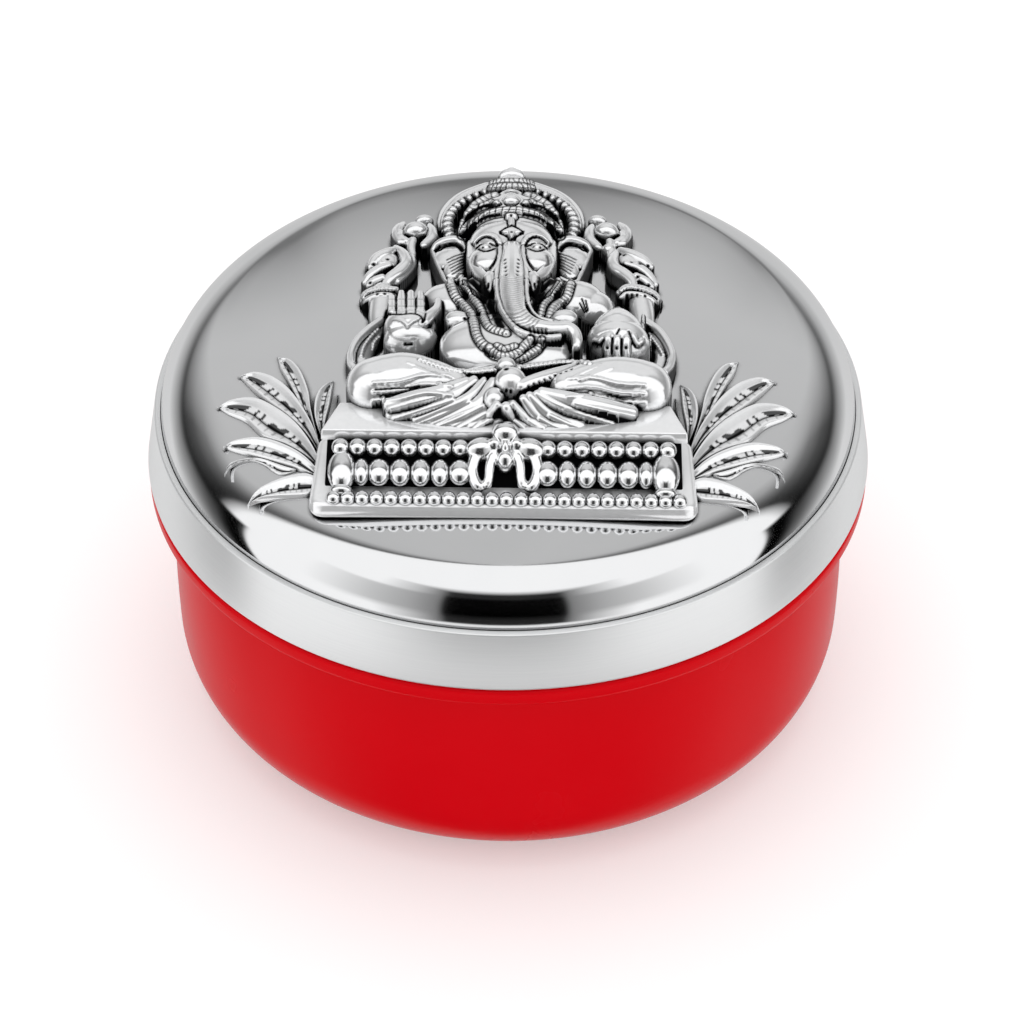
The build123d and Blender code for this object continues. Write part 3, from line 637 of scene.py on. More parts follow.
# %% Rear arms
part = NAMES.index("arms_casting")
HANDS = {"left": [(315, 420, 1.98, (1.9, 1.8, 1.7))], "right": [(490, 405, 1.98, (1.95, 1.8, 1.7))]}
ARMS = {     # for each side: the forearm, then the fingers, then the two rings of the bracelet
    "left": [
        [(300, 600, 1.98, 1.2), (295, 690, 1.98, 1.25), (285, 790, 1.72, 1.1), (290, 860, 1.32, 0.8)],
        [(398, 272, 1.72, 0.36), (452, 318, 2.05, 0.54), (472, 385, 2.24, 0.66), (428, 442, 2.31, 0.7),
         (362, 490, 2.24, 0.66), (328, 528, 1.98, 0.5)],
        [(500, 340, 1.65, 0.6), (498, 400, 1.78, 0.7), (455, 460, 1.85, 0.7), (400, 515, 1.78, 0.6)],
        [(385, 288, 1.91, 0.42), (328, 315, 2.24, 0.6), (262, 352, 2.24, 0.64), (225, 405, 1.91, 0.5)],
        [(350, 395, 2.31, 0.36), (280, 420, 2.38, 0.46), (215, 468, 2.18, 0.48), (178, 520, 1.72, 0.4)],
        [(300, 480, 2.31, 0.36), (245, 505, 2.24, 0.42), (205, 540, 1.91, 0.4)],
        [(160, 650, 0.92, 0.36), (190, 600, 1.72, 0.42), (285, 568, 2.38, 0.46), (400, 575, 2.05, 0.4)],
        [(168, 672, 0.79, 0.26), (203, 632, 1.65, 0.3), (285, 606, 2.24, 0.3), (390, 612, 1.91, 0.28)],
    ],
    "right": [
        [(540, 600, 1.98, 1.2), (555, 680, 1.98, 1.25), (570, 770, 1.72, 1.1), (560, 840, 1.32, 0.8)],
        [(385, 295, 1.72, 0.4), (358, 352, 2.05, 0.6), (375, 405, 2.24, 0.68), (435, 442, 2.31, 0.68),
         (482, 482, 2.24, 0.64), (500, 520, 1.98, 0.5)],
        [(415, 280, 1.91, 0.42), (480, 305, 2.24, 0.58), (558, 345, 2.24, 0.62), (612, 390, 1.91, 0.5)],
        [(450, 365, 2.31, 0.34), (530, 390, 2.38, 0.44), (600, 440, 2.18, 0.46), (650, 510, 1.72, 0.4)],
        [(520, 450, 2.31, 0.36), (580, 482, 2.24, 0.42), (622, 525, 1.91, 0.4)],
        [(400, 570, 1.98, 0.36), (460, 535, 2.38, 0.46), (560, 545, 2.38, 0.46), (640, 580, 1.72, 0.42),
         (678, 625, 0.92, 0.36)],
        [(412, 602, 1.91, 0.26), (460, 574, 2.24, 0.3), (560, 582, 2.24, 0.3), (628, 614, 1.65, 0.3),
         (660, 650, 0.79, 0.26)],
    ],
}
for view in ARMS:
    carve(view, HANDS[view], ARMS[view])
tell()

# %% [markdown]
# ### Lotus buds
# Each rear hand holds a bud of folded petals. The two are alike, so the points are given from the bud's own
# place and turned round for the other side. Only the right one shows its stalk.

# %% Lotus buds
BUD_PLACE = {"left": (540, 1), "right": (318, -1)}     # picture point across, and which way the bud faces
BUD_BALLS = [(15, 165, 1.2, (1.7, 1.1, 1.0)), (62, 82, 1.7, (0.95, 0.62, 0.75)), (0, 156, 2.55, (1.22, 0.98, 1.1))]
BUD_PETALS = [     # across from the bud's own place
    [(-88, 100, 1.4, 0.3), (-122, 138, 1.7, 0.56), (-136, 182, 1.8, 0.62), (-112, 224, 1.8, 0.5),
     (-70, 240, 1.7, 0.4)],
    [(100, 112, 1.5, 0.3), (116, 158, 1.8, 0.56), (112, 212, 1.9, 0.62), (60, 256, 1.8, 0.5)],
    [(-98, 160, 1.7, 0.3), (-112, 195, 1.9, 0.44), (-70, 225, 1.9, 0.42)],
    [(-22, 225, 1.9, 0.5), (-32, 275, 1.8, 0.5), (-22, 330, 1.6, 0.42)],
]
BUD_STALK = (335, 285, 1.95, (0.78, 0.66, 0.9))
for view, (u, s) in BUD_PLACE.items():
    balls, *petals = [[(u + s * p[0], *p[1:]) for p in line] for line in (BUD_BALLS, *BUD_PETALS)]
    carve(view, balls, petals)
carve("right", [BUD_STALK])
tell()

# %% [markdown]
# ### Looped sashes
# A sash loops from each arm down to the knee: a low sheet of cloth with a rolled edge. One line makes both,
# moved inwards and widened for the cloth, so that the edge always borders its sheet.

# %% Looped sashes
SASHES = {
    "left": [(290, 795, 1.9), (205, 855, 1.8), (122, 935, 1.7), (80, 1020, 1.7), (76, 1100, 1.9), (100, 1140, 2.2)],
    "right": [(590, 765, 1.9), (680, 835, 1.8), (738, 920, 1.7), (765, 1000, 1.7), (748, 1075, 1.9),
              (715, 1110, 2.2)],
}
SASH_TOP, SASH_CLOTH, SASH_EDGE = 1.2, 1.1, 0.46     # height and radius of the cloth, radius of the edge
SASH_INNER = {"left": (75, 40), "right": (-75, 40)}     # the cloth inside the rolled edge, from the edge
for view, edge in SASHES.items():
    across, down = SASH_INNER[view]
    carve(view, strands=[[(u + across, v + down, SASH_TOP) for u, v, top in edge]], radius=SASH_CLOTH)
    carve(view, strands=[edge], radius=SASH_EDGE)
tell()

# %% [markdown]
# ### Raised palm
# One front hand is raised with its palm outwards. Balls give the palm and its heel, and four strands of one
# kind give the fingers, so that they stand close and even as on the casting.

# %% Raised palm
part = NAMES.index("palm_casting")
PALM = [(500, 840, 5.7, (2.5, 1.9, 1.9)), (505, 940, 5.2, (2.6, 1.5, 2.2)), (480, 740, 4.9, (1.85, 1.2, 1.8))]
FINGERS = ((370, 622, 4.7), (437, 598, 5.0), (506, 598, 5.0), (574, 602, 4.8))     # across, tip, top at the tip
KNUCKLE, FINGER_ROOT = 670, 735          # picture points down
KNUCKLE_RISE, ROOT_RISE = 0.3, 0.6       # above the finger's tip
TIP_RADIUS, FINGER_RADIUS = 0.4, 0.44
THUMB = [(700, 650, 4.8, 0.36), (688, 705, 5.1, 0.46), (645, 755, 5.5, 0.6), (600, 800, 5.7, 0.6)]
fingers = [[(u, tip, top, TIP_RADIUS), (u, KNUCKLE, top + KNUCKLE_RISE, FINGER_RADIUS),
            (u, FINGER_ROOT, top + ROOT_RISE, FINGER_RADIUS)] for u, tip, top in FINGERS]
carve("left", PALM, [*fingers, THUMB])
tell()

# %% [markdown]
# ### Sweet
# The other front hand holds a round sweet with a point. A ball and one strand that grows thinner upwards are
# enough, and the fingers in front of it are laid on later as small mouldings.

# %% Sweet
part = NAMES.index("sweet_casting")
SWEET = [(395, 905, 6.2, (2.95, 2.1, 2.4))]
SWEET_POINT = [(394, 690, 4.8, 0.45), (395, 735, 5.4, 1.0), (395, 795, 5.9, 1.75), (395, 865, 6.25, 2.5)]
carve("right", SWEET, [SWEET_POINT])
tell()

# %% [markdown]
# ### Legs and cloth
# The legs are folded under cloth that fans out from a knot at the belt. The thighs are thick strands, and each
# fold is a strand with a thinner one beside it, because cloth falls in a large and a small roll.

# %% Legs
part = NAMES.index("legs_casting")
LAP = [     # lap and shins, then the knot of the belt
    (755, 235, 6.4, (6.5, 2.8, 2.4)), (440, 255, 6.0, (6.0, 2.9, 2.4), -12), (1070, 262, 6.0, (6.0, 2.9, 2.4), 12),
    (755, 335, 6.0, (6.0, 2.0, 1.9)),
    (690, 262, 7.4, (0.9, 1.0, 1.0), -30), (765, 195, 8.3, (1.52, 1.35, 1.6)), (745, 122, 7.7, (0.95, 0.8, 1.0)),
]
THIGHS = [
    [(510, 205, 7.4, 1.5), (400, 190, 7.6, 2.1), (290, 184, 7.8, 2.55), (200, 194, 7.8, 2.55), (147, 206, 7.8, 2.5)],
    [(1010, 215, 7.4, 1.5), (1120, 204, 7.6, 2.1), (1230, 200, 7.8, 2.5), (1320, 210, 7.8, 2.55),
     (1368, 220, 7.8, 2.5)],
    [(810, 205, 7.7, 0.6), (900, 172, 7.6, 0.6), (1000, 142, 7.1, 0.55), (1110, 112, 6.4, 0.45)],
]
BELT = [[(350, 88, 5.8), (450, 124, 6.6), (560, 147, 7.0), (690, 142, 7.3)],
        [(1130, 110, 5.9), (1000, 106, 6.6), (880, 120, 7.0), (800, 132, 7.3)]]
FOLDS = [
    [(565, 185, 7.3), (440, 232, 7.4), (320, 262, 7.1), (215, 290, 6.4)],
    [(600, 182, 7.2), (490, 252, 7.0), (350, 298, 6.3), (228, 338, 5.4)],
    [(645, 180, 7.2), (565, 262, 6.8), (440, 318, 5.9), (338, 360, 5.1)],
    [(685, 190, 7.3), (625, 280, 6.6), (520, 332, 5.8), (425, 372, 5.05)],
    [(700, 240, 7.2), (645, 310, 6.1), (570, 352, 5.45), (515, 382, 5.0)],
    [(705, 290, 7.0), (660, 340, 5.6), (610, 370, 5.2), (585, 388, 4.95)],
    [(905, 235, 7.3), (1040, 268, 7.2), (1180, 300, 6.7), (1305, 325, 5.8)],
    [(880, 240, 7.2), (990, 295, 6.6), (1110, 330, 5.9), (1212, 362, 5.15)],
    [(850, 252, 7.2), (925, 322, 6.0), (1005, 358, 5.4), (1075, 384, 5.0)],
    [(822, 265, 7.2), (880, 335, 5.8), (945, 370, 5.2), (1010, 392, 4.95)],
    [(775, 285, 7.1), (830, 345, 5.6), (875, 375, 5.15), (905, 394, 4.95)],
    [(745, 300, 6.9), (770, 348, 5.6), (800, 372, 5.2), (815, 388, 4.95)],
]
FOLD_RADII = (0.42, 0.58, 0.66, 0.58)
SWELL, SWELL_TURN = 0.22, 2.4     # how much the folds' widths differ, and how fast from fold to fold
BESIDE, BELOW, LOWER, THIN = 14, 16, 0.3, 0.3     # the thin fold beside each: picture shift, drop, radius
carve("legs", LAP, THIGHS)
carve("legs", strands=BELT, radius=0.36)
for n, fold in enumerate(FOLDS):
    swell = 1.0 + SWELL * math.sin(SWELL_TURN * n)
    carve("legs", strands=[[(*point, r * swell) for point, r in zip(fold, FOLD_RADII)],
                           [(u + BESIDE, v + BELOW, top - LOWER, THIN) for u, v, top in fold[1:]]])
tell()

# %% [markdown]
# ### Head
# The elephant head has fan ears with a rolled rim, full cheeks, two tusks and a long trunk that curls to one
# side. What is alike on both sides is given once and mirrored, and the trunk is given as it lies.

# %% Head
part = NAMES.index("head_casting")
EAR = [(370, 700, 3.05, (1.75, 2.2, 0.8)), (390, 790, 3.05, (1.1, 1.6, 0.8))]
EAR_RIM = [(228, 648, 2.6, 0.24), (265, 603, 3.1, 0.36), (325, 576, 3.6, 0.42), (400, 568, 3.7, 0.4),
           (442, 594, 3.5, 0.32), (462, 650, 3.2, 0.24)]
EAR_EDGE = [(232, 655, 2.6), (275, 765, 2.7), (308, 835, 2.8), (335, 872, 3.0), (395, 866, 3.2), (445, 845, 3.3)]
SKULL = [(MIDDLE, 610, 6.2, (4.1, 3.4, 2.5)), (MIDDLE, 520, 6.2, (3.5, 2.6, 2.2))]
FACE = [(640, 735, 5.75, (2.1, 2.0, 1.5)), (612, 628, 5.95, (0.62, 0.5, 0.5)), (585, 945, 4.5, (2.0, 1.7, 1.6))]
FACE_STRANDS = [     # cheek rim, eye socket, tusk, neck roll, trunk root
    [(512, 600, 4.2, 0.5), (518, 690, 4.6, 0.65), (540, 770, 5.0, 0.66), (585, 825, 5.3, 0.55),
     (645, 845, 5.6, 0.45)],
    [(712, 620, 5.9, 0.22), (712, 690, 6.05, 0.24), (690, 750, 6.05, 0.24), (655, 795, 5.9, 0.2)],
    [(640, 826, 6.3, 0.5), (630, 868, 6.4, 0.66), (624, 915, 6.2, 0.52), (630, 955, 5.8, 0.28)],
    [(463, 858, 4.3, 0.3), (533, 941, 4.9, 0.32), (605, 988, 5.2, 0.32), (681, 1018, 5.5, 0.3)],
    [(715, 730, 6.0, 0.4), (706, 790, 6.1, 0.45), (692, 850, 6.25, 0.4)],
]
TRUNK = [
    (797, 650, 6.0, 1.05), (797, 720, 6.5, 1.12), (796, 800, 6.9, 1.2), (795, 900, 7.2, 1.24), (802, 1000, 7.3, 1.2),
    (825, 1085, 7.4, 1.08), (875, 1145, 7.4, 0.96), (945, 1182, 7.3, 0.82), (1030, 1198, 7.1, 0.7),
    (1110, 1198, 6.9, 0.64), (1185, 1195, 6.7, 0.62), (1240, 1225, 6.5, 0.6), (1262, 1280, 6.2, 0.58),
    (1258, 1325, 5.9, 0.5),
]
TRUNK_LOW = [(688, 860, 6.5), (688, 920, 6.5), (702, 1005, 6.6), (737, 1090, 6.7), (792, 1168, 6.8), (865, 1222, 6.8),
             (960, 1252, 6.7), (1060, 1262, 6.6), (1140, 1255, 6.5)]
TRUNK_HIGH = [(902, 860, 6.5), (903, 930, 6.5), (912, 1010, 6.6), (945, 1085, 6.7), (1000, 1130, 6.7),
              (1080, 1150, 6.6)]
for side, turn in ((list, -14), (other, 14)):
    carve("head", [(*form, turn) for form in side(EAR)], [side(EAR_RIM)])
    carve("head", strands=[side(EAR_EDGE)], radius=0.24)
    carve("head", side(FACE), [side(line) for line in FACE_STRANDS])
carve("head", SKULL, [TRUNK])
carve("head", strands=[TRUNK_LOW], radius=0.26)
carve("head", strands=[TRUNK_HIGH], radius=0.24)
tell()

# %% [markdown]
# ### Crown of the figure
# A tall crown of wrapped bands stands on the brow, with a jewel in front and a knob on top. The bands are thin
# strands over a few large balls, and the mark on the brow is made in the same way.

# %% Crown of the figure
part = NAMES.index("crown_casting")
CROWN_BALLS = [
    (792, 435, 5.4, (4.75, 3.1, 2.6)), (792, 205, 3.8, (2.2, 1.0, 1.4)), (797, 120, 3.4, (1.4, 0.75, 0.95)),
    (797, 90, 3.0, (0.75, 0.45, 0.6)), (792, 300, 6.15, (0.92, 0.72, 0.8)), (792, 400, 6.9, (0.62, 0.42, 0.5)),
]
CROWN_STUDS = [(691, 322, 5.9, (0.42, 0.36, 0.5)), (732, 355, 6.2, (0.4, 0.34, 0.5))]
LOW_BAND = [(452, 565, 3.0), (470, 512, 3.7), (518, 458, 4.7), (600, 408, 5.6), (700, 378, 6.2), (792, 368, 6.4),
            (886, 378, 6.2), (985, 408, 5.6), (1066, 458, 4.7), (1114, 512, 3.7), (1137, 568, 3.0)]
WRAPS = [[(438, 505, 2.9), (468, 430, 3.6), (540, 358, 4.6), (630, 318, 5.2), (690, 312, 5.4)],
         [(478, 392, 3.0), (540, 318, 3.9), (620, 272, 4.5), (680, 255, 4.8)]]
wraps = [line for wrap in WRAPS for line in (wrap, other(wrap, CROWN_MIDDLE))]
KNOB_BAND = [(635, 212, 3.3), (700, 200, 3.9), (792, 196, 4.2), (885, 200, 3.9), (950, 212, 3.3)]
KNOB_TOP = [(648, 172, 3.0), (710, 160, 3.5), (797, 156, 3.7), (882, 160, 3.5), (942, 172, 3.0)]
JEWEL = [(716, 300, 5.6), (745, 264, 5.4), (792, 244, 5.2), (838, 264, 5.4), (868, 300, 5.6), (842, 336, 5.9),
         (792, 352, 6.0), (742, 336, 5.9), (716, 300, 5.6)]
JEWEL_ARCH = [(680, 330, 5.5), (700, 275, 5.2), (740, 238, 4.9), (792, 222, 4.8), (846, 238, 4.9), (886, 275, 5.2),
              (904, 330, 5.5)]
PENDANT = [(792, 430, 6.6), (793, 475, 6.6)]
BROW_MARK = [
    [(722, 517, 6.2, 0.14), (762, 516, 6.35, 0.36), (795, 515, 6.45, 0.5), (828, 516, 6.35, 0.36),
     (868, 517, 6.2, 0.14)],
    [(795, 468, 6.35, 0.2), (795, 515, 6.45, 0.5), (795, 560, 6.25, 0.22)],
]
carve("head", CROWN_BALLS + CROWN_STUDS + other(CROWN_STUDS, CROWN_MIDDLE), BROW_MARK)
for lines, radius in (([LOW_BAND, KNOB_BAND, PENDANT], 0.36), (wraps, 0.34), ([KNOB_TOP], 0.32), ([JEWEL], 0.22),
                      ([JEWEL_ARCH], 0.24)):
    carve("head", strands=lines, radius=radius)
tell()

# %% [markdown]
# ### Halo
# Behind the crown stands an arch with a beaded edge. Three strands side by side give its section, and the beads
# are balls turned along the arch, so that they follow it as struck beads do.

# %% Halo
part = NAMES.index("halo_casting")
HALO = [(340, 565), (322, 505), (322, 445), (343, 385), (392, 325), (462, 276), (548, 240), (620, 216)]
HALO_LAYERS = ((0, 0, 0.7, 0.85), (38, 12, 0.5, 0.7), (-14, -8, 1.0, 0.24))     # shift across, down, top, radius
HALO_BEADS = [(358, 548), (347, 512), (343, 474), (346, 436), (358, 400), (378, 367), (406, 336), (444, 308),
              (490, 281), (542, 257), (600, 236)]
BEAD_TOP, BEAD_HALF, FORESHORTENED = 1.85, (0.35, 0.62, 0.62), 1.45
for s, rim, beads in ((1, HALO, HALO_BEADS), (-1, other(HALO, HALO_MIDDLE), other(HALO_BEADS, HALO_MIDDLE))):
    for across, down, top, radius in HALO_LAYERS:
        carve("head", strands=[[(u + across * s, v + down, top) for u, v in rim]], radius=radius)
    beads = beads + [(2 * beads[-1][0] - beads[-2][0], 2 * beads[-1][1] - beads[-2][1])]
    for (u, v), (u2, v2) in zip(beads, beads[1:]):
        along = math.degrees(math.atan2(-(v2 - v) * FORESHORTENED, u2 - u))
        carve("head", [(u, v, BEAD_TOP, BEAD_HALF, along)])
tell()

# %% [markdown]
# ## Garlands and small mouldings
# Bead garlands, bands and small mouldings are laid on the finished forms where the picture shows them, as a
# carver adds them last. Each follows whatever lies under it, so only its picture points are needed.

# %% Garlands
part = 0
SHADE_BED_DEPTH, GARLAND_PITCH, GARLAND_PROUD = 0.1, 0.46, 0.9
SHADE_BEDS = [     # painted shade under the chin and beside the garlands: shallow hollows left black, with their widths
    ([(500, 868), (560, 930), (640, 985)], 0.6), ([(640, 1040), (680, 1120), (720, 1190)], 0.5),
    ([(1090, 868), (1030, 930), (955, 990)], 0.6), ([(950, 1040), (985, 1090)], 0.42),
]
GARLANDS = [
    ([(362, 880), (400, 975), (478, 1058), (520, 1130), (545, 1240), (590, 1310), (660, 1350)], 0.4),
    ([(436, 880), (500, 960), (568, 1040), (602, 1130), (645, 1195), (760, 1235)], 0.34),
    ([(1218, 880), (1180, 985), (1095, 1050), (1062, 1125)], 0.4),
    ([(1140, 880), (1085, 968), (1022, 1035), (1000, 1110)], 0.34),
    ([(1012, 1280), (985, 1340), (910, 1390), (830, 1418)], 0.34),
    ([(640, 1340), (690, 1378), (755, 1395), (830, 1370), (900, 1312), (930, 1285)], 0.42),
    ([(690, 1325), (750, 1345), (820, 1325)], 0.3),
]
COLLARS = [     # picture points, then size, how proud, and the gap between beads
    ([(478, 870), (560, 960), (680, 1025)], 0.2, 0.7), ([(1100, 870), (1010, 965), (915, 1025)], 0.2, 0.7),
    ([(648, 1120), (690, 1150)], 0.45, 0.8, 0.7),
]
CROWN_CHAINS = [     # picture points, then width, pitch of the links, how proud
    (LOW_BAND, 0.5, 0.74, 1.0), *[(wrap, 0.38, 0.7, 0.9) for wrap in wraps],
    ([(640, 208), (700, 198), (792, 194), (885, 198), (945, 208)], 0.4, 0.66, 1.0),
    ([(650, 170), (710, 158), (797, 154), (882, 158), (940, 170)], 0.32, 0.52, 0.9),
]
# painted shade first: black hollows where shade falls under the chin and beside the garlands
for points, wide in SHADE_BEDS:
    chase("head", points, wide, SHADE_BED_DEPTH)
for points, wide in GARLANDS:
    chain("head", points, wide, GARLAND_PITCH, GARLAND_PROUD)
for points, *size in COLLARS:
    ridge("head", points, *size)
for points, *size in CROWN_CHAINS:
    chain("head", points, *size)
print(len(GARLANDS) + len(CROWN_CHAINS), "garlands and bands")

# %% [markdown]
# ### Small mouldings
# Bracelets, belt and sashes have rows of beads, and eyelids, hands, knees and hips have thin raised lines. They
# are too small to be forms of their own, so they are laid on what is there.

# %% Small mouldings
BEAD_ROWS = [     # bracelets, belt and sashes: picture points, then size, how proud, gap
    ("left", [(165, 640), (195, 595), (290, 565), (395, 573)], 0.22, 1.0, 0.42),
    ("right", [(405, 562), (460, 533), (560, 543), (640, 578), (675, 620)], 0.22, 1.0, 0.42),
    ("legs", [(350, 86), (450, 122), (560, 145), (690, 140)], 0.28, 1.0, 0.45),
    ("legs", [(1130, 108), (1000, 104), (880, 118), (800, 130)], 0.28, 1.0, 0.45),
    ("left", [(278, 850), (215, 915), (168, 985), (150, 1050)], 0.24, 1.0, 0.42),
    ("left", [(290, 905), (245, 950), (232, 1010)], 0.2, 1.0, 0.4),
    ("right", [(560, 800), (620, 870), (675, 945), (705, 1000)], 0.24, 1.0, 0.42),
    ("right", [(565, 860), (615, 930), (640, 990)], 0.2, 1.0, 0.4),
]
EYELIDS = [([(540, 590), (572, 556), (620, 540), (680, 556), (712, 605)], 0.3, 0.9),
           ([(568, 640), (612, 655), (664, 640)], 0.16, 0.8)]
lids = [("head", side(points), *size) for side in (list, other) for points, *size in EYELIDS]
HAND_RIDGES = [
    ("left", [(385, 790), (425, 790), (455, 800), (485, 822), (515, 800), (545, 785), (570, 765)], 0.2, 0.5),
    ("right", [(240, 895), (270, 895), (300, 868), (345, 852)], 0.36, 0.6),
    ("right", [(495, 850), (520, 905), (555, 890)], 0.34, 0.6),
    *[("right", line, 0.42, 0.6) for line in repeated([(328, 870), (322, 930), (326, 990)], [(64, 0)] * 3, 3)],
]
KNEES = [[(150, 190), (260, 184), (380, 156), (500, 166)], [(1365, 200), (1250, 194), (1130, 168), (1020, 174)]]
knees = [line for pair in zip(*(repeated(knee, [(0, 40)] * 4, 3) for knee in KNEES)) for line in pair]
HIPS = [[(300, 100), (390, 130), (470, 150)], [(330, 125), (410, 148), (490, 160)],
        [(1170, 112), (1100, 140), (1050, 165)], [(1220, 125), (1130, 158), (1070, 180)]]
cloth = [("legs", line, 0.22, 0.5) for line in knees] + [("legs", line, 0.18, 0.4) for line in HIPS]
mouldings = BEAD_ROWS + lids + HAND_RIDGES + cloth
for view, points, *size in mouldings:
    ridge(view, points, *size)
print(len(mouldings), "small mouldings")

# %% [markdown]
# ## Chased lines
# Last comes the graver: eyelids, trunk rings, ear ribs, finger joints and the folds of cloth. A cut takes
# a little height away and leaves black behind. Lines of the face are given for one side and cut on both.

# %% Chased lines
DOT_DEPTH = 0.15


def dots(*points):
    """Lines of one point each, which are cut as dots."""
    return [[point] for point in points]


FACE_LINES = [     # picture points, then width, depth and how black
    ([(545, 600), (575, 572), (620, 556), (672, 575), (700, 618)], 0.12, 0.08),
    ([(545, 632), (580, 606), (625, 597), (685, 622)], 0.13, 0.08),
    ([(555, 640), (615, 655), (680, 634)], 0.12, 0.06),
    ([(590, 626)], 0.15, DOT_DEPTH),
    ([(640, 622)], 0.13, DOT_DEPTH),
    ([(692, 640), (690, 690), (668, 742), (640, 782)], 0.11, 0.08),
    ([(540, 690), (530, 740), (555, 760)], 0.16, 0.10, 0.8),
    ([(632, 880), (628, 915)], 0.16, 0.1),
    ([(278, 648), (325, 622), (395, 614), (450, 645)], 0.24, 0.2),
    *[(line, 0.11, 0.08, 0.85)
      for line in repeated([(335, 715), (390, 690), (450, 672)], [(8, 20), (6, 20), (0, 20)], 6)],
    ([(455, 545), (500, 482), (560, 435), (640, 405), (710, 396)], 0.16, 0.12),
    ([(450, 470), (500, 395), (580, 340), (660, 322)], 0.16, 0.1),
    ([(500, 425), (560, 375), (640, 345), (690, 340)], 0.14, 0.1, 0.9),
    *[(line, 0.12, 0.06, 0.8) for line in repeated([(470, 470), (500, 440)], [(45, -34), (45, -30)], 5)],
    ([(712, 515), (750, 490), (795, 470)], 0.14, 0.1),
    ([(712, 515), (750, 545), (795, 570)], 0.14, 0.1),
]
TRUNK_CURL = ((745, 1105, 900, 1065), (765, 1130, 915, 1085), (790, 1155, 930, 1105), (820, 1180, 948, 1120),
              (850, 1200, 968, 1135), (885, 1215, 990, 1145))     # ends of the rings where the trunk turns
RING_ACROSS, RING_DOWN = 12, 10                                     # how far a ring's middle sags
JOINTS, JOINT_HALF = (640, 690), 20                                 # finger joints: places down, half length
rings = [[(u0, v0), ((u0 + u1) / 2 + RING_ACROSS, (v0 + v1) / 2 + RING_DOWN), (u1, v1)]
         for u0, v0, u1, v1 in TRUNK_CURL]
joints = [[(u - JOINT_HALF, v), (u + JOINT_HALF, v)] for u, tip, top in FINGERS for v in JOINTS]
CHASED = [     # view, lines, then width, depth and how black
    ("head", dots((795, 515)), 0.17, DOT_DEPTH),
    ("head", dots((792, 398)), 0.16, DOT_DEPTH),
    ("head", repeated([(748, 715)], [(2, 27)], 5) + repeated([(845, 715)], [(-2, 27)], 5), 0.15, DOT_DEPTH),
    ("head", repeated([(715, 832), (795, 848), (880, 832)], [(1.2, 15), (1, 15), (-0.2, 15)], 16), 0.08, 0.05, 0.35),
    ("head", rings, 0.09, 0.05, 0.5),
    ("head", repeated([(925, 1200), (932, 1235)], [(28, 4), (28, 3)], 5), 0.13, 0.08, 0.9),
    ("left", [[(u, 600), (u, 738)] for u in (403, 471, 540)], 0.09, 0.2),
    ("left", [[(340, 745), (420, 748), (520, 742), (575, 760), (590, 800)]], 0.14, 0.1),
    ("left", [[(375, 790), (420, 795), (455, 815), (482, 850), (512, 815), (550, 795), (580, 770)]], 0.1, 0.06, 0.7),
    ("left", [[(345, 850), (375, 905), (450, 935), (540, 925)]], 0.1, 0.05, 0.5),
    ("left", [[(460, 965), (515, 962)]], 0.15, 0.08),
    ("left", [[(610, 740), (600, 790), (585, 805)]], 0.15, 0.1),
    ("left", joints, 0.08, 0.03, 0.4),
    ("left", dots((890, 776)), 0.2, DOT_DEPTH),
    ("left", dots((240, 390)), 0.24, DOT_DEPTH),
    ("left", dots((340, 355), (215, 520)), 0.2, DOT_DEPTH),
    ("left", dots((265, 600), (320, 600), (385, 600)), 0.18, DOT_DEPTH),
    ("right", dots((435, 310), (490, 355), (545, 370), (600, 385), (530, 455), (605, 515)), 0.2, DOT_DEPTH),
    ("right", dots((455, 585), (490, 580), (525, 580), (580, 585)), 0.18, DOT_DEPTH),
    ("right", dots((322, 940), (386, 940), (450, 940)), 0.2, DOT_DEPTH),
    ("right", [[(u, 880), (u, 990)] for u in (354, 418)], 0.13, 0.15),
    ("right", [[(230, 905), (275, 915), (300, 890)]], 0.14, 0.1),
    ("right", [[(470, 830), (490, 890), (515, 940)]], 0.14, 0.12),
    ("right", [[(405, 812), (385, 850)]], 0.13, 0.08),
    ("right", [[(150, 610), (180, 700)], [(135, 640), (165, 700)], [(175, 620), (190, 690)]], 0.12, 0.08),
    ("legs", repeated([(340, 112), (430, 142)], [(22, 10), (20, 10)], 5), 0.07, 0.04, 0.3),
    ("legs", [[(158, 224), (260, 218), (355, 210)]], 0.13, 0.1),
    ("legs", dots((725, 232), (745, 228), (765, 232)), 0.2, DOT_DEPTH),
    ("legs", dots((745, 130)), 0.28, DOT_DEPTH),
    ("legs", repeated([(845, 208)], [(24, -9.5)], 9), 0.14, DOT_DEPTH),
]
for side in (list, other):
    for points, *cut in FACE_LINES:
        chase("head", side(points), *cut)
for view, lines, *cut in CHASED:
    for points in lines:
        chase(view, points, *cut)
print(2 * len(FACE_LINES) + sum(len(lines) for view, lines, *cut in CHASED), "chased lines and dots")

# %% [markdown]
# ## Draft, oxide and painted shade
# A casting has to leave its mould, so the backs of the forms slope down. Then the oxide wash is worked out:
# black stays in what lies lower than its surroundings and along the foot of every form, and the steep sides
# are blackened as painted shade.

# %% Draft, oxide and painted shade
PEDESTAL_EDGE = -18.5     # the pedestal's top ends here, and the cloth with it
DRAFT = 9.0               # fall of a form's back, per millimetre
PAD = 80                  # cells round the field, so that a blur does not reach across it
# Hollows of three widths: blur, depth at which black begins, further depth until it is full
RECESSES = ((0.14, 0.02, 0.06), (0.28, 0.06, 0.15), (0.8, 0.5, 0.6))
STEEP, STEEP_SPAN = 3.2, 2.4
FOOT_BLUR, FOOT, FOOT_SPAN = 0.14, 0.12, 0.2


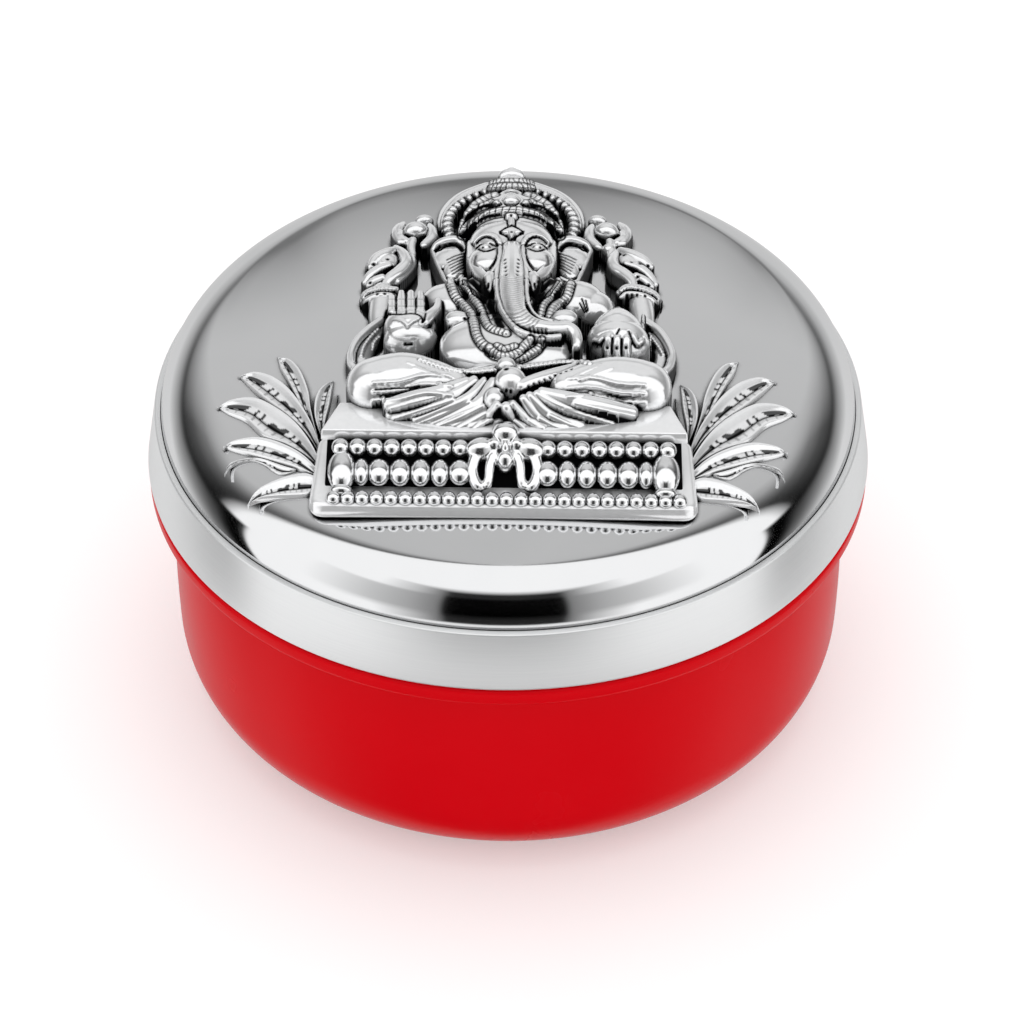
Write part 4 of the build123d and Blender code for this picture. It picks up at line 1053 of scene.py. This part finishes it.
def soft(field, size):
    """The field blurred over so many millimetres."""
    rows, columns = (np.fft.fftfreq(n + 2 * PAD, STEP) for n in field.shape)
    spectrum = np.fft.fft2(np.pad(field, PAD, mode="edge"))
    spectrum *= np.exp(-2 * (math.pi * size) ** 2 * (rows[:, None] ** 2 + columns[None, :] ** 2))
    return np.fft.ifft2(spectrum).real[PAD:-PAD, PAD:-PAD]


height[(height > 0) & (gy - LEAN * height < PEDESTAL_EDGE)] = -1
for row in range(1, len(ys)):
    fall = height[row - 1] - DRAFT * STEP
    under = (fall > 0) & (fall > height[row])
    height[row, under] = fall[under]
    owner[row, under] = owner[row - 1, under]
solid = np.maximum(height, 0)
rise_back, rise_side = np.gradient(solid, STEP)
recesses = [np.clip((soft(solid, blur) - solid - begin) / span, 0, 1) for blur, begin, span in RECESSES]
# painted shade: steep sides, except the backs, are blackened
steep_shade = np.clip((np.hypot(np.maximum(rise_back, 0), rise_side) - STEEP) / STEEP_SPAN, 0, 1)
foot = np.clip((soft((height <= 0).astype(float), FOOT_BLUR) - FOOT) / FOOT_SPAN, 0, 1)
black = np.max([black, *recesses, steep_shade, foot], axis=0)
black[height <= 0] = 0
print("relief cells", int((height > 0).sum()), "blackened", round(float(black[height > 0].mean()), 2))

# %% [markdown]
# ## Castings from the field
# One grid is raised to the field's heights, what lies outside the relief is deleted, and the rest is
# separated into the castings that the parts of the figure make. Each is extruded down into the lid, which
# closes it, and one round of smoothing takes the steps out of its outline.

# %% Casting helpers
SEAT = 0.25               # castings end this far under the lid's skin
RELIEF_SINK, LEAF_SINK = 12.0, 2.0     # how far a sheet is first extruded down
RELIEF_ROUNDS, KNOT_ROUNDS = 1, 3      # rounds of smoothing


def points_of(piece):
    """Vertex places in millimetres."""
    co = np.empty(len(piece.data.vertices) * 3)
    piece.data.vertices.foreach_get("co", co)
    return co.reshape(-1, 3) / MM


def put_points(piece, co):
    """Moves the vertices to places in millimetres."""
    piece.data.vertices.foreach_set("co", (co * MM).ravel())
    piece.data.update()


def blacken(piece, amount):
    """Hands the black over to the material, vertex by vertex: oxide, and painted shade where it was carved in."""
    piece.data.attributes.new("oxide_and_shade", "FLOAT", "POINT").data.foreach_set("value", amount)


def seat(piece):
    """Pushes what lies deep under the lid's skin up to just below it."""
    co = points_of(piece)
    co[:, 2] = np.maximum(co[:, 2], crown(co[:, 0], co[:, 1]) - SEAT)
    put_points(piece, co)


def sink(piece, depth):
    """Extrudes an open sheet straight down into the lid, so that it becomes a closed piece."""
    bpy.ops.object.select_all(action="DESELECT")
    piece.select_set(True)
    bpy.context.view_layer.objects.active = piece
    bpy.ops.object.mode_set(mode="EDIT")
    bpy.ops.mesh.select_all(action="SELECT")
    bpy.ops.mesh.extrude_region_move(TRANSFORM_OT_translate={"value": (0, 0, -depth * MM)})
    bpy.ops.mesh.select_all(action="SELECT")
    bpy.ops.mesh.normals_make_consistent(inside=False)
    bpy.ops.object.mode_set(mode="OBJECT")
    seat(piece)


def soften(piece, rounds):
    """Smooths the active piece, as wax rounds off before it is cast."""
    wax = piece.modifiers.new("soften", "SMOOTH")
    wax.factor = 0.5
    wax.iterations = rounds
    bpy.ops.object.modifier_apply(modifier="soften")


print("castings end", SEAT, "mm under the lid's skin")

# %% [markdown]
# ### Separating the castings
# Each face takes the number of the form that owns it as its material slot, and the separate tool then splits
# the grid by material. That puts the seams exactly where two forms meet, which a knife cut would not.

# %% Castings
owner[(height > 0) & (owner == 0)] = NAMES.index("body_casting")
owner[height <= 0] = 0
bpy.ops.object.select_all(action="DESELECT")
bpy.ops.mesh.primitive_grid_add(x_subdivisions=len(xs) - 1, y_subdivisions=len(ys) - 1, size=2.0)
relief = bpy.context.object
co = points_of(relief) * MM
j = np.rint((co[:, 0] + 1) / 2 * (len(xs) - 1)).astype(int)
i = np.rint((co[:, 1] + 1) / 2 * (len(ys) - 1)).astype(int)
up = np.maximum(height[i, j], 0)
x, y = xs[j], ys[i] - LEAN * up
put_points(relief, np.column_stack([x, y, crown(x, y) + up]))
blacken(relief, black[i, j])
corners = np.empty(len(relief.data.polygons) * 4, int)
relief.data.polygons.foreach_get("vertices", corners)
owners = owner[i, j][corners.reshape(-1, 4)]
owners = np.where(owners.min(axis=1) > 0, owners[:, 0], 0)
for name in NAMES:
    relief.data.materials.append(bpy.data.materials.new(name))
relief.data.polygons.foreach_set("material_index", owners)
relief.data.update()
bpy.ops.object.mode_set(mode="EDIT")
bpy.ops.mesh.select_mode(type="FACE")
bpy.ops.object.mode_set(mode="OBJECT")
relief.data.polygons.foreach_set("select", owners == 0)
bpy.ops.object.mode_set(mode="EDIT")
bpy.ops.mesh.delete(type="FACE")
bpy.ops.mesh.select_all(action="SELECT")
bpy.ops.mesh.separate(type="MATERIAL")
bpy.ops.object.mode_set(mode="OBJECT")
figure = {}
for piece in list(bpy.context.selected_objects):
    name = piece.data.materials[piece.data.polygons[0].material_index].name
    piece.name = name
    figure[name] = piece
for name, piece in figure.items():
    sink(piece, RELIEF_SINK)
    soften(piece, RELIEF_ROUNDS)
    bpy.ops.object.shade_smooth()
    print(name, len(piece.data.polygons), "faces")

# %% [markdown]
# ## Leaf sprays
# Each leaf is a sickle blade with a thick rolled upper edge, a hollow middle and a thin lower edge. A grid
# is stretched between its two edges, lifted to that section, and extruded down into the lid. The numbers
# are the two edges of the left spray as the picture shows them, from the root to the tip.

# %% Leaves
LEAVES = {     # lower edge, upper edge
    "a": ([(890, 800), (770, 540), (665, 330), (606, 220), (583, 116)],
          [(925, 850), (862, 580), (835, 390), (770, 225), (690, 135), (584, 112)]),
    "b": ([(900, 880), (800, 740), (650, 600), (500, 495), (390, 400), (268, 272)],
          [(935, 870), (870, 680), (770, 490), (660, 350), (530, 265), (400, 230), (266, 268)]),
    "c": ([(910, 1010), (800, 925), (640, 835), (470, 770), (330, 645), (200, 585), (98, 525)],
          [(940, 1020), (880, 860), (790, 710), (690, 600), (560, 510), (430, 450), (300, 438), (180, 465),
           (96, 522)]),
    "d": ([(930, 1105), (820, 1062), (700, 1012), (560, 970), (400, 925), (260, 885), (148, 840)],
          [(945, 1095), (870, 990), (760, 890), (620, 815), (480, 772), (340, 768), (220, 788), (146, 838)]),
    "e": ([(730, 1055), (620, 1082), (540, 1046), (480, 1002), (400, 974), (300, 980), (205, 1008), (156, 1070)],
          [(730, 1038), (640, 1008), (560, 982), (480, 956), (400, 944), (290, 958), (194, 992), (155, 1068)]),
    "f": ([(900, 1200), (800, 1246), (680, 1252), (540, 1258), (430, 1272), (345, 1305)],
          [(930, 1110), (820, 1058), (700, 1072), (590, 1105), (480, 1155), (395, 1215), (340, 1298)]),
    "g": ([(948, 775), (972, 640), (1004, 520), (1024, 400), (1034, 312)],
          [(935, 775), (884, 650), (868, 540), (886, 440), (944, 352), (1028, 304)]),
    "h": ([(985, 740), (1044, 640), (1072, 530), (1070, 420)], [(955, 745), (1006, 640), (1044, 540), (1060, 420)]),
}
FLAT_LEAVES, FLAT = ("e",), 0.4      # leaves that lie lower than the others, and their share of the height
SECTION_PLACE = (0.0, 0.04, 0.12, 0.3, 0.5, 0.6, 0.7, 0.8, 0.92, 1.0)
SECTION_HEIGHT = (0.1, 0.42, 0.46, 0.32, 0.36, 0.46, 0.62, 0.76, 0.8, 0.2)
ALONG_PLACE, ALONG_HEIGHT = (0, 0.25, 0.75, 1.0), (0.9, 1.0, 0.9, 0.4)
LOW_EDGE, HIGH_EDGE = 0.35, 0.75     # heights at which the two edges are seen
LEAF_STEPS, LEAF_ROWS, EDGE_STEP = 90, 30, 0.1
LEAF_CREASE = 50                     # degrees
MIDRIB, MIDRIB_WIDTH, MIDRIB_END = 0.33, 0.045, 0.9     # shares: place and width across the blade, end along it
VEIN_STRIP, VEIN_TURNS, VEIN_SWAY, SWAY_TURNS, VEIN_SLANT, VEIN_THIN = (0.36, 0.6), 52, 3, 19, 4, 0.45
ROOT_STRIP, ROOT_END, ROLL, ROLL_END = (0.36, 0.52), 0.3, 0.965, 0.92
NOTCH_STRIP, NOTCH_TURNS, NOTCH_THIN = (0.12, 0.3), 85, 0.8
# the black at the root of each blade is painted shade, where the blades meet
VEIN_BLACK, ROOT_SHADE, ROLL_BLACK, NOTCH_BLACK = 0.9, 0.9, 0.7, 0.5


def veins(u, v):
    """Black of a blade at shares along and across it: midrib, side veins, painted shade at the root, rolled edge,
    notches.
    """
    in_vein, in_root, in_notch = ((v > low) & (v < high) for low, high in (VEIN_STRIP, ROOT_STRIP, NOTCH_STRIP))
    side = np.sin(VEIN_TURNS * u + VEIN_SWAY * np.sin(SWAY_TURNS * u) + VEIN_SLANT * v) > VEIN_THIN
    amount = np.exp(-((v - MIDRIB) / MIDRIB_WIDTH) ** 2) * (u < MIDRIB_END) + VEIN_BLACK * side * in_vein
    root_shade, roll = ROOT_SHADE * (u < ROOT_END) * in_root, ROLL_BLACK * (v > ROLL) * (u < ROLL_END)
    notches = NOTCH_BLACK * (np.sin(NOTCH_TURNS * u) > NOTCH_THIN) * in_notch
    return np.clip(amount + (root_shade + roll + notches), 0, 1)


def leaf(name, s, low_edge, high_edge, full):
    """One blade between its two edges, on the right (1) or the left (-1), with its share of the full height."""
    bpy.ops.object.select_all(action="DESELECT")
    bpy.ops.mesh.primitive_grid_add(x_subdivisions=LEAF_STEPS, y_subdivisions=LEAF_ROWS, size=2.0)
    blade = bpy.context.object
    blade.name = name
    u, v = ((points_of(blade) * MM + 1) / 2)[:, :2].T
    edges = []
    for edge, seen in ((low_edge, LOW_EDGE), (high_edge, HIGH_EDGE)):
        line = through([spot("spray", *point, seen * full) for point in edge], EDGE_STEP)
        share = np.linspace(0, 1, len(line))
        edges.append(np.column_stack([np.interp(u, share, line[:, i]) for i in (0, 1)]))
    plan = edges[0] * (1 - v[:, None]) + edges[1] * v[:, None]
    lift = full * np.interp(v, SECTION_PLACE, SECTION_HEIGHT) * np.interp(u, ALONG_PLACE, ALONG_HEIGHT)
    x, y = -s * plan[:, 0], plan[:, 1]
    put_points(blade, np.column_stack([x, y, crown(x, y) + lift]))
    blacken(blade, veins(u, v))
    sink(blade, LEAF_SINK)
    bpy.ops.object.shade_smooth_by_angle(angle=math.radians(LEAF_CREASE))
    return blade


def weld(name, forms):
    """Joins forms into one object with its place in its mesh."""
    bpy.ops.object.select_all(action="DESELECT")
    for piece in forms:
        piece.select_set(True)
    bpy.context.view_layer.objects.active = forms[0]
    bpy.ops.object.join()
    bpy.ops.object.transform_apply(location=True, rotation=True, scale=True)
    piece = bpy.context.object
    piece.name = name
    print(name, len(piece.data.polygons), "faces")
    return piece


sprays = {}
for s, side in ((1, "right"), (-1, "left")):
    blades = [leaf("leaf_" + key, s, *edges, FLAT if key in FLAT_LEAVES else 1.0) for key, edges in LEAVES.items()]
    sprays[side] = weld("leaf_spray_" + side + "_casting", blades)

# %% [markdown]
# ## Pedestal
# The pedestal is a stepped block with a front that leans back: a rounded slab, a dark sunk field between
# two rows of beads, and a flat top that the figure sits on. Each step is a cube whose corners are moved to two
# plans and whose edges are bevelled, which needs no drawn outline and keeps the leaning front exactly flat.

# %% Pedestal
PEDESTAL_FRONT = -24.9
GROUND = float(crown(0, PEDESTAL_FRONT))
SLAB_TOP, FIELD_TOP, STEP_TOP = GROUND + 1.4, GROUND + 4.2, GROUND + 5.2
FIELD_FOOT, FIELD_HEAD = -24.0, -18.5     # plan of the leaning front's two ends
CORNER_STEPS, EDGE_STEPS, BLOCK_CREASE = 8, 5, 35


def block(name, floor_plan, top_plan, low, high, edge, corner=0.0):
    """A cube whose lower and upper faces are moved to two plans (half width front, half width back, front, back)."""
    bpy.ops.object.select_all(action="DESELECT")
    bpy.ops.mesh.primitive_cube_add(size=2.0)
    piece = bpy.context.object
    piece.name = name
    moved = []
    for x, y, z in np.sign(points_of(piece)):
        plan = top_plan if z > 0 else floor_plan
        wide = plan[0] if y < 0 else plan[1]
        moved.append((x * wide, plan[2] if y < 0 else plan[3], high if z > 0 else low))
    put_points(piece, np.array(moved))
    if corner:
        bpy.ops.object.mode_set(mode="EDIT")
        bpy.ops.mesh.select_mode(type="EDGE")
        bpy.ops.mesh.select_all(action="DESELECT")
        bpy.ops.object.mode_set(mode="OBJECT")
        for side in piece.data.edges:
            a, b = (piece.data.vertices[i].co for i in side.vertices)
            side.select = abs(a.z - b.z) > abs(a.x - b.x) + abs(a.y - b.y)
        bpy.ops.object.mode_set(mode="EDIT")
        bpy.ops.mesh.bevel(offset=corner * MM, segments=CORNER_STEPS, affect="EDGES")
        bpy.ops.object.mode_set(mode="OBJECT")
    bevel = piece.modifiers.new("edge", "BEVEL")
    bevel.width = edge * MM
    bevel.segments = EDGE_STEPS
    bevel.limit_method = "ANGLE"
    bpy.ops.object.modifier_apply(modifier="edge")
    bpy.ops.object.shade_smooth_by_angle(angle=math.radians(BLOCK_CREASE))
    return piece


SLAB_PLANS = (17.7, 17.3, -24.75, -14.5), (17.5, 17.1, -24.55, -14.5)
CORE_PLANS = (16.3, 15.4, FIELD_FOOT, -13.6), (16.1, 15.0, FIELD_HEAD, -13.6)
STEP_PLANS = (16.7, 15.2, -18.75, -14.6), (16.6, 15.1, -18.6, -14.6)
SLAB_SUNK, SLAB_EDGE, SLAB_CORNER = 0.3, 0.6, 1.4
OVERLAP, EDGE = 0.2, 0.2     # how far a block reaches into the one below, and its rounded edge
slab = block("slab", *SLAB_PLANS, GROUND - SLAB_SUNK, SLAB_TOP, SLAB_EDGE, SLAB_CORNER)
core = block("core", *CORE_PLANS, GROUND - OVERLAP, FIELD_TOP, EDGE)
blacken(core, np.ones(len(core.data.vertices)))
step = block("step", *STEP_PLANS, FIELD_TOP - OVERLAP, STEP_TOP, EDGE)
pedestal = weld("pedestal_casting", [slab, core, step])
seat(pedestal)

# %% [markdown]
# ## Beads, balusters and posts
# Rows of small turned forms stand on the leaning front. On the real lid they are struck from one punch, so
# one ball is stretched and placed by how far up the front it sits and how far it stands out.

# %% Beads
FIELD_LEAN = math.degrees(math.atan2(FIELD_TOP - SLAB_TOP, FIELD_HEAD - FIELD_FOOT))
BEAD_SEGMENTS, BEAD_RINGS = 24, 12
UPPER_FIRST, UPPER_PITCH, UPPER_COUNT = 3.95, 1.55, 8
LOWER_FIRST, LOWER_PITCH, LOWER_COUNT = -15.3, 1.3, 25
UPPER_BEAD = 0.82, 0.35, (0.84, 0.84, 0.84)     # share up the front, how far it stands out, half sizes
LOWER_BEAD = 0.03, 0.25, (0.69, 0.69, 0.69)
INNER_BALUSTER = 0.44, 0.35, (1.05, 1.2, 0.9)
BALUSTER_UP, BALUSTER_OUT, BALUSTER_HALF = 0.44, 0.2, (1.3, 0.95)
POST_FORMS = (0.45, 0.25, (1.3, 2.0, 1.2)), (0.14, 0.2, (1.05, 0.6, 0.9))     # barrel and foot
BALUSTERS = ((5.75, 0.92), (7.5, 0.98), (9.35, 1.02), (11.25, 1.08), (12.85, 0.8))     # place and half width
POST = 14.6


def on_field(share, lift=0.0):
    """Plan y and height of a place on the leaning front: 0 is its foot, 1 its head."""
    foot, head_end = np.array((FIELD_FOOT, SLAB_TOP)), np.array((FIELD_HEAD, FIELD_TOP))
    run = head_end - foot
    out = np.array((-run[1], run[0])) / np.linalg.norm(run)
    return foot + run * share + out * lift


def bead(x, share, lift, half):
    """A smooth bead on the leaning front, stretched to three half sizes."""
    y, z = on_field(share, lift)
    bpy.ops.mesh.primitive_uv_sphere_add(segments=BEAD_SEGMENTS, ring_count=BEAD_RINGS, radius=MM,
                                         location=(x * MM, y * MM, z * MM),
                                         rotation=(math.radians(FIELD_LEAN), 0, 0), scale=half)
    bpy.ops.object.shade_smooth()
    return bpy.context.object


upper = weld("upper_bead_row", [bead(s * (UPPER_FIRST + UPPER_PITCH * i), *UPPER_BEAD)
                                for i in range(UPPER_COUNT) for s in (-1, 1)])
lower = weld("lower_bead_row", [bead(LOWER_FIRST + LOWER_PITCH * i, *LOWER_BEAD) for i in range(LOWER_COUNT)])
balusters = [bead(s * x, BALUSTER_UP, BALUSTER_OUT, (wide, *BALUSTER_HALF)) for s in (-1, 1) for x, wide in BALUSTERS]
balusters += [bead(s * UPPER_FIRST, *INNER_BALUSTER) for s in (-1, 1)]
balusters = weld("baluster_row_casting", balusters)
posts = weld("corner_posts_casting", [bead(s * POST, *post) for s in (-1, 1) for post in POST_FORMS])

# %% [markdown]
# ## Flower knot
# A knot of petals and ribbon loops hangs over the middle of the pedestal. It overhangs, so it can't be part
# of the height field: balls make the buds, ropes the ribbons, and a remesh gives them all one skin.

# %% Flower knot
VOXEL = 0.105
FORM_SEGMENTS, FORM_RINGS = 32, 16
ROPE_STEP, ROPE_ENDS, ROPE_ROUND = 0.22, 0.4, 4     # spacing, share of the radius at the ends, bevel resolution
KNOT = 0.13               # the knot's middle
KNOT_BUDS = [(0, -18.9, 5.9, (1.3, 1.05, 1.2)), (0, -20.1, 5.0, (0.5, 0.8, 1.4)), (0, -20.9, 4.4, (0.85, 0.8, 1.2))]
KNOT_SIDES = [(2.15, -19.9, 4.9, (1.5, 1.0, 1.2), -10), (1.0, -19.9, 5.0, (0.6, 0.55, 0.8))]
RIBBONS = [([(0.9, -20.2, 4.6), (2.3, -20.6, 4.3), (2.95, -21.9, 3.4), (2.55, -23.1, 2.6), (1.9, -23.3, 2.3)], 0.56),
           ([(0.9, -20.6, 4.3), (1.35, -21.6, 3.6), (1.45, -22.6, 2.9), (1.7, -23.3, 2.3)], 0.46)]


def form(x, y, top, half, turn=0.0):
    """A swelling form: a ball stretched to three half sizes, its top so far above the crown."""
    place = (x * MM, y * MM, (crown(x, y) + top - half[2]) * MM)
    bpy.ops.mesh.primitive_uv_sphere_add(segments=FORM_SEGMENTS, ring_count=FORM_RINGS, radius=MM, location=place,
                                         rotation=(0, 0, math.radians(turn)), scale=half)
    return bpy.context.object


def rope(points, radius):
    """A round ribbon whose visible front runs through (x, y, height) points."""
    stations = through(with_radius(points, radius), ROPE_STEP)
    stations[[0, -1], 3] *= ROPE_ENDS
    curve = bpy.data.curves.new("ribbon", "CURVE")
    curve.dimensions = "3D"
    curve.bevel_depth = MM
    curve.bevel_resolution = ROPE_ROUND
    curve.use_fill_caps = True
    spline = curve.splines.new("POLY")
    spline.points.add(len(stations) - 1)
    for point, (x, y, top, size) in zip(spline.points, stations):
        point.co = (*(Vector((x, y, crown(x, y) + top)) - back * size) * MM, 1)
        point.radius = size
    ribbon = bpy.data.objects.new("ribbon", curve)
    bpy.context.collection.objects.link(ribbon)
    bpy.ops.object.select_all(action="DESELECT")
    ribbon.select_set(True)
    bpy.context.view_layer.objects.active = ribbon
    bpy.ops.object.convert(target="MESH")
    return bpy.context.object


knot = [form(KNOT + x, *bud) for x, *bud in KNOT_BUDS]
for s in (1, -1):
    knot += [form(KNOT + s * x, y, top, half, *(s * t for t in turn)) for x, y, top, half, *turn in KNOT_SIDES]
    knot += [rope([(KNOT + s * x, y, top) for x, y, top in points], radius) for points, radius in RIBBONS]
knot = weld("flower_knot_casting", knot)
skin = knot.modifiers.new("one skin", "REMESH")
skin.mode = "VOXEL"
skin.voxel_size = VOXEL * MM
skin.use_smooth_shade = True
bpy.ops.object.modifier_apply(modifier="one skin")
soften(knot, KNOT_ROUNDS)
seat(knot)
print(knot.name, len(knot.data.polygons), "faces in one skin")

# %% [markdown]
# ## Dressing the castings
# All castings ride on the lid and share the antique silver. Small round forms polish best, and the broad
# ones were brushed once more, so those two groups get their own degree of polish.

# %% Dressing
CASTINGS = {
    "seated_figure": [figure[n] for n in NAMES[1:] if n != "halo_casting"], "halo": [figure["halo_casting"]],
    "pedestal": [pedestal], "corner_posts": [posts], "upper_beads": [upper], "baluster_row": [balusters],
    "lower_beads": [lower], "flower_knot": [knot],
    "leaf_spray_left": [sprays["left"]], "leaf_spray_right": [sprays["right"]],
}
BRIGHT = ("corner_posts", "upper_beads", "baluster_row", "lower_beads", "flower_knot")
SATIN = ("pedestal", "leaf_spray_left", "leaf_spray_right")
for node, pieces in CASTINGS.items():
    for piece in pieces:
        dress(piece, "satin_silver" if node in SATIN else "bright_silver" if node in BRIGHT else "antique_silver")
        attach(piece, "lid")
        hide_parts(node)
print(sum(len(pieces) for pieces in CASTINGS.values()), "castings on the lid")

# %% [markdown]
# ## Studio
# Polished metal shows the room, so the room is drawn with care: a white tent on the camera's side, a black
# card in front for the dark patch on the shoulder, black edges at both sides, and a grey far side that the
# flat crown mirrors. The pattern reads the direction only. Each ramp below is one light or dark zone, given
# as (place, grey level) along a turn, a slope or a height.

# %% World
BY_TURN = {     # 0 at the camera's side, 1 at the far side
    "dark_line": ((0.50, 0.05), (0.66, 0.14), (0.83, 0.34), (0.917, 0.47), (0.942, 0.455), (0.954, 0.39),
                  (0.966, 0.372), (1.0, 0.40)),     # how high the dark line between the two tents stands
    "is_behind": ((0.70, 0.0), (0.90, 1.0)),
    "side_edge": ((0.50, 0.04), (0.55, 0.25), (0.62, 0.7), (0.70, 1.0)),
    "card": ((0.098, 0.0), (0.108, 0.22), (0.158, 0.42), (0.22, 0.60), (0.28, 0.82), (0.34, 1.0)),
    "card_ends": ((0.095, 0.02), (0.11, 0.22), (0.15, 0.55), (0.22, 1.0)),
    "aside": ((0.22, 0.0), (0.48, 1.0)),
    "low_edge": ((0.455, 1.0), (0.465, 0.0)),
    "is_far": ((0.49, 0.0), (0.53, 1.0)),
}
BY_SLOPE = {     # 0 straight down, 1 level
    "low": ((0.38, 1.0), (0.46, 0.0)), "ends": ((0.72, 1.0), (0.90, 0.0)), "below": ((0.55, 1.0), (0.60, 0.0)),
    "pit": ((0.36, 0.0), (0.44, 1.0)),
}
BY_HEIGHT = {     # 0 level, 1 straight up
    "rim": ((0.40, 0.0), (0.46, 1.0)), "high": ((0.55, 0.0), (0.66, 1.0)), "over": ((0.06, 0.0), (0.14, 1.0)),
}
ABOVE_LINE = {     # 0.5 on the dark line, 1 well above it
    "behind": ((0.0, 0.66), (0.30, 0.52), (0.44, 0.26), (0.50, 0.17), (0.525, 0.25), (0.56, 0.38), (0.60, 0.47),
               (0.675, 0.58), (0.75, 0.64), (1.0, 0.60)),
    "beside": ((0.0, 0.80), (0.18, 0.55), (0.35, 0.30), (0.46, 0.07), (0.50, 0.04), (0.68, 0.10), (0.83, 0.22),
               (0.95, 0.48), (1.0, 0.58)),
}
LINE_TOP = 0.70           # height that counts as well above the dark line
TENT = 1.12               # brightness of the white tent
AMBIENT = 0.97            # what reaches dull surfaces from all sides; the lamp gives the rest

world = bpy.data.worlds.new("studio")
bpy.context.scene.world = world
world.use_nodes = True
tree = world.node_tree


def calc(operation, first, second=0.0):
    """A sum on two values or nodes of the world."""
    return add(tree, "Math", {0: first, 1: second}, operation=operation)


def blend(factor, first, second, kind="MIX"):
    """Two colours of the world mixed by a factor."""
    return add(tree, "Mix", {"Factor": factor, "A": first, "B": second}, data_type="RGBA", blend_type=kind)


ray = add(tree, "SeparateXYZ", {0: add(tree, "TexCoord").outputs["Generated"]}).outputs
turn = calc("ABSOLUTE", calc("ARCTAN2", ray["X"], calc("MULTIPLY", ray["Y"], -1.0)))
turn = calc("MULTIPLY", turn, 1 / math.pi)
slope = add(tree, "MapRange", {"Value": ray["Z"], "From Min": -1.0, "From Max": 0.0})
zone = {}
for source, zones in ((turn, BY_TURN), (slope, BY_SLOPE), (ray["Z"], BY_HEIGHT)):
    for name, pairs in zones.items():
        zone[name] = add(tree, "ValToRGB", {"Fac": source}, stops=pairs)
rise = calc("DIVIDE", calc("SUBTRACT", ray["Z"], zone["dark_line"]), calc("SUBTRACT", LINE_TOP, zone["dark_line"]))
above = add(tree, "MapRange", {"Value": rise, "From Min": -1.0})
for name, pairs in ABOVE_LINE.items():
    zone[name] = add(tree, "ValToRGB", {"Fac": above}, stops=pairs)

far = blend(zone["is_behind"], zone["beside"], zone["behind"])
far = blend(1.0, far, calc("MAXIMUM", zone["side_edge"], zone["low"]), "MULTIPLY")
card = blend(calc("MAXIMUM", zone["ends"], zone["rim"]), zone["card"], zone["card_ends"])
front = calc("MULTIPLY", calc("MAXIMUM", card, zone["high"]), TENT)
front = calc("MAXIMUM", front, zone["below"])
front = calc("MULTIPLY", front, calc("MAXIMUM", zone["pit"], zone["aside"]))
keep = calc("MAXIMUM", calc("MAXIMUM", zone["low_edge"], zone["over"]), zone["low"])
room = blend(zone["is_far"], calc("MULTIPLY", front, keep), far)
path = add(tree, "LightPath").outputs
soft_sky = blend(path["Is Glossy Ray"], (AMBIENT, AMBIENT, AMBIENT, 1), room)
seen = blend(path["Is Camera Ray"], soft_sky, (1, 1, 1, 1))
wire(tree, tree.nodes["Background"], {"Color": seen, "Strength": 1.0})
print("studio", len(tree.nodes), "nodes")

# %% [markdown]
# ## Floor
# The box stands on white paper that runs out of sight. A share of its white reaches the camera whatever
# the shadow does, as on a lit table, and the floor stays out of the mirror's sight.

# %% Floor
FLOOR_SIZE = 6.0          # metres
PAPER, PAPER_ROUGH = 0.95, 0.9
GLOW, GLOW_STRENGTH = 0.28, 1.3     # share of the paper's white that no shadow takes away, for the camera only
bpy.ops.object.select_all(action="DESELECT")
bpy.ops.mesh.primitive_plane_add(size=FLOOR_SIZE)
floor = bpy.context.object
floor.name = "floor"
floor.visible_glossy = False
# Matt white paper
paper, tree, shader, place = start("white_paper", Base_Color=(PAPER, PAPER, PAPER, 1), Roughness=PAPER_ROUGH)
share = add(tree, "Math", {0: add(tree, "LightPath").outputs["Is Camera Ray"], 1: GLOW}, operation="MULTIPLY")
glow = add(tree, "Emission", {"Strength": GLOW_STRENGTH})
wire(tree, tree.nodes["Material Output"], {"Surface": add(tree, "MixShader", {0: share, 1: shader, 2: glow})})
floor.data.materials.append(paper)
print("floor", paper.name)

# %% [markdown]
# ## Lamp
# One broad lamp hangs over the box, a little behind it, for the soft shadow in front. It is hidden from the
# mirror, which shows the drawn room only.

# %% Lamp
LAMP_PLACE, LAMP_AIM, LAMP_SIZE, LAMP_POWER = (0.0, 0.04, 0.50), (0, 0, 0.02), 0.35, 0.45
bpy.ops.object.light_add(type="AREA", location=LAMP_PLACE)
lamp = bpy.context.object
lamp.name = "soft_overhead"
lamp.data.size = LAMP_SIZE
lamp.data.energy = LAMP_POWER
lamp.visible_glossy = False
lamp.rotation_euler = (Vector(LAMP_AIM) - lamp.location).to_track_quat("-Z", "Y").to_euler()
print(lamp.name, lamp.data.energy, "W")
